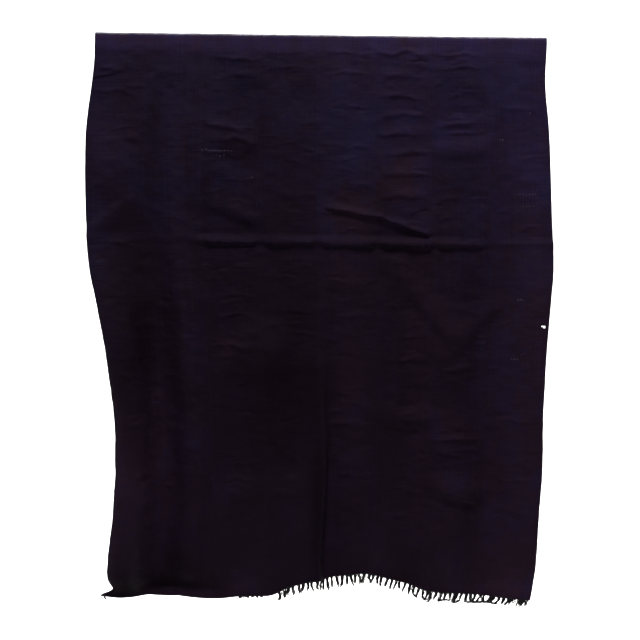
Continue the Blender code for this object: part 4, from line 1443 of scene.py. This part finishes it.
def add_lamp(lamp):
    """A soft square lamp that faces its target."""
    data = bpy.data.lights.new(lamp.name, "AREA")
    data.shape = "SQUARE"
    data.size = lamp.side
    data.energy = lamp.watts
    data.color = lamp.colour
    light = bpy.data.objects.new(lamp.name, data)
    light.location = lamp.place
    aim = Vector(lamp.target) - Vector(lamp.place)
    light.rotation_euler = aim.to_track_quat("-Z", "Y").to_euler()
    bpy.context.collection.objects.link(light)


class MUDCLOTH_OT_set_stage(bpy.types.Operator):
    """Set the pale floor, the soft lights and the camera"""

    bl_idname = "mud_cloth.set_stage"
    bl_label = "Set Stage"

    def execute(self, context):
        scene = context.scene
        turns = np.linspace(0.0, np.pi / 2, SWEEP_CORNERS)
        profile = [(SWEEP_FRONT, FLOOR_Z)]
        profile += [(SWEEP_BACK + SWEEP_RADIUS * math.sin(turn),
                     FLOOR_Z + SWEEP_RADIUS * (1 - math.cos(turn))) for turn in turns]
        profile.append((SWEEP_BACK + SWEEP_RADIUS, SWEEP_TOP))
        points = [(side * SWEEP_HALF_WIDTH, y, z) for y, z in profile for side in (-1, 1)]
        faces = [(2 * i, 2 * i + 1, 2 * i + 3, 2 * i + 2) for i in range(len(profile) - 1)]
        paper = white_paper(scene.mud_cloth_colours.floor)
        floor = new_piece("floor_sweep", points, faces, paper)

        for lamp in LAMPS:
            add_lamp(lamp)
        world = bpy.data.worlds.new("studio")
        world.use_nodes = True
        background = world.node_tree.nodes["Background"]
        background.inputs["Color"].default_value = (1.0, 1.0, 1.0, 1.0)
        background.inputs["Strength"].default_value = SKY_STRENGTH
        scene.world = world
        scene.view_settings.view_transform = "Standard"

        data = bpy.data.cameras.new("camera")
        data.lens = CAMERA_LENS
        data.sensor_width = 36.0
        camera = bpy.data.objects.new("camera", data)
        level = Matrix.Rotation(math.pi / 2, 4, "X")
        roll = Matrix.Rotation(-CAMERA_ROLL, 4, "Y")
        camera.matrix_world = Matrix.Translation(CAMERA_PLACE) @ roll @ level
        context.collection.objects.link(camera)
        scene.camera = camera
        return {"FINISHED"}


class MUDCLOTH_PT_tools(bpy.types.Panel):
    """Lists the steps that make the cloth"""

    bl_idname = "MUDCLOTH_PT_tools"
    bl_label = "Mud Cloth"
    bl_space_type = "VIEW_3D"
    bl_region_type = "UI"
    bl_category = "Mud Cloth"

    def draw(self, context):
        for settings in (context.scene.mud_cloth_sizes, context.scene.mud_cloth_colours):
            column = self.layout.column()
            for name in settings.__annotations__:
                column.prop(settings, name)
        for operator in OPERATORS:
            self.layout.operator(operator.bl_idname)


OPERATORS = (
    MUDCLOTH_OT_weave_strips,
    MUDCLOTH_OT_sew_seams,
    MUDCLOTH_OT_hang_fringe,
    MUDCLOTH_OT_mend_cloth,
    MUDCLOTH_OT_set_stage,
)
CLASSES = (MudClothSizes, MudClothColours, *OPERATORS, MUDCLOTH_PT_tools)


def register():
    for each in CLASSES:
        bpy.utils.register_class(each)
    bpy.types.Scene.mud_cloth_sizes = PointerProperty(type=MudClothSizes)
    bpy.types.Scene.mud_cloth_colours = PointerProperty(type=MudClothColours)


def unregister():
    del bpy.types.Scene.mud_cloth_colours
    del bpy.types.Scene.mud_cloth_sizes
    for each in reversed(CLASSES):
        bpy.utils.unregister_class(each)


def main():
    register()
    bpy.ops.mud_cloth.weave_strips()
    bpy.ops.mud_cloth.sew_seams()
    bpy.ops.mud_cloth.hang_fringe()
    bpy.ops.mud_cloth.mend_cloth()
    bpy.ops.mud_cloth.set_stage()


if __name__ == "__main__":
    main()
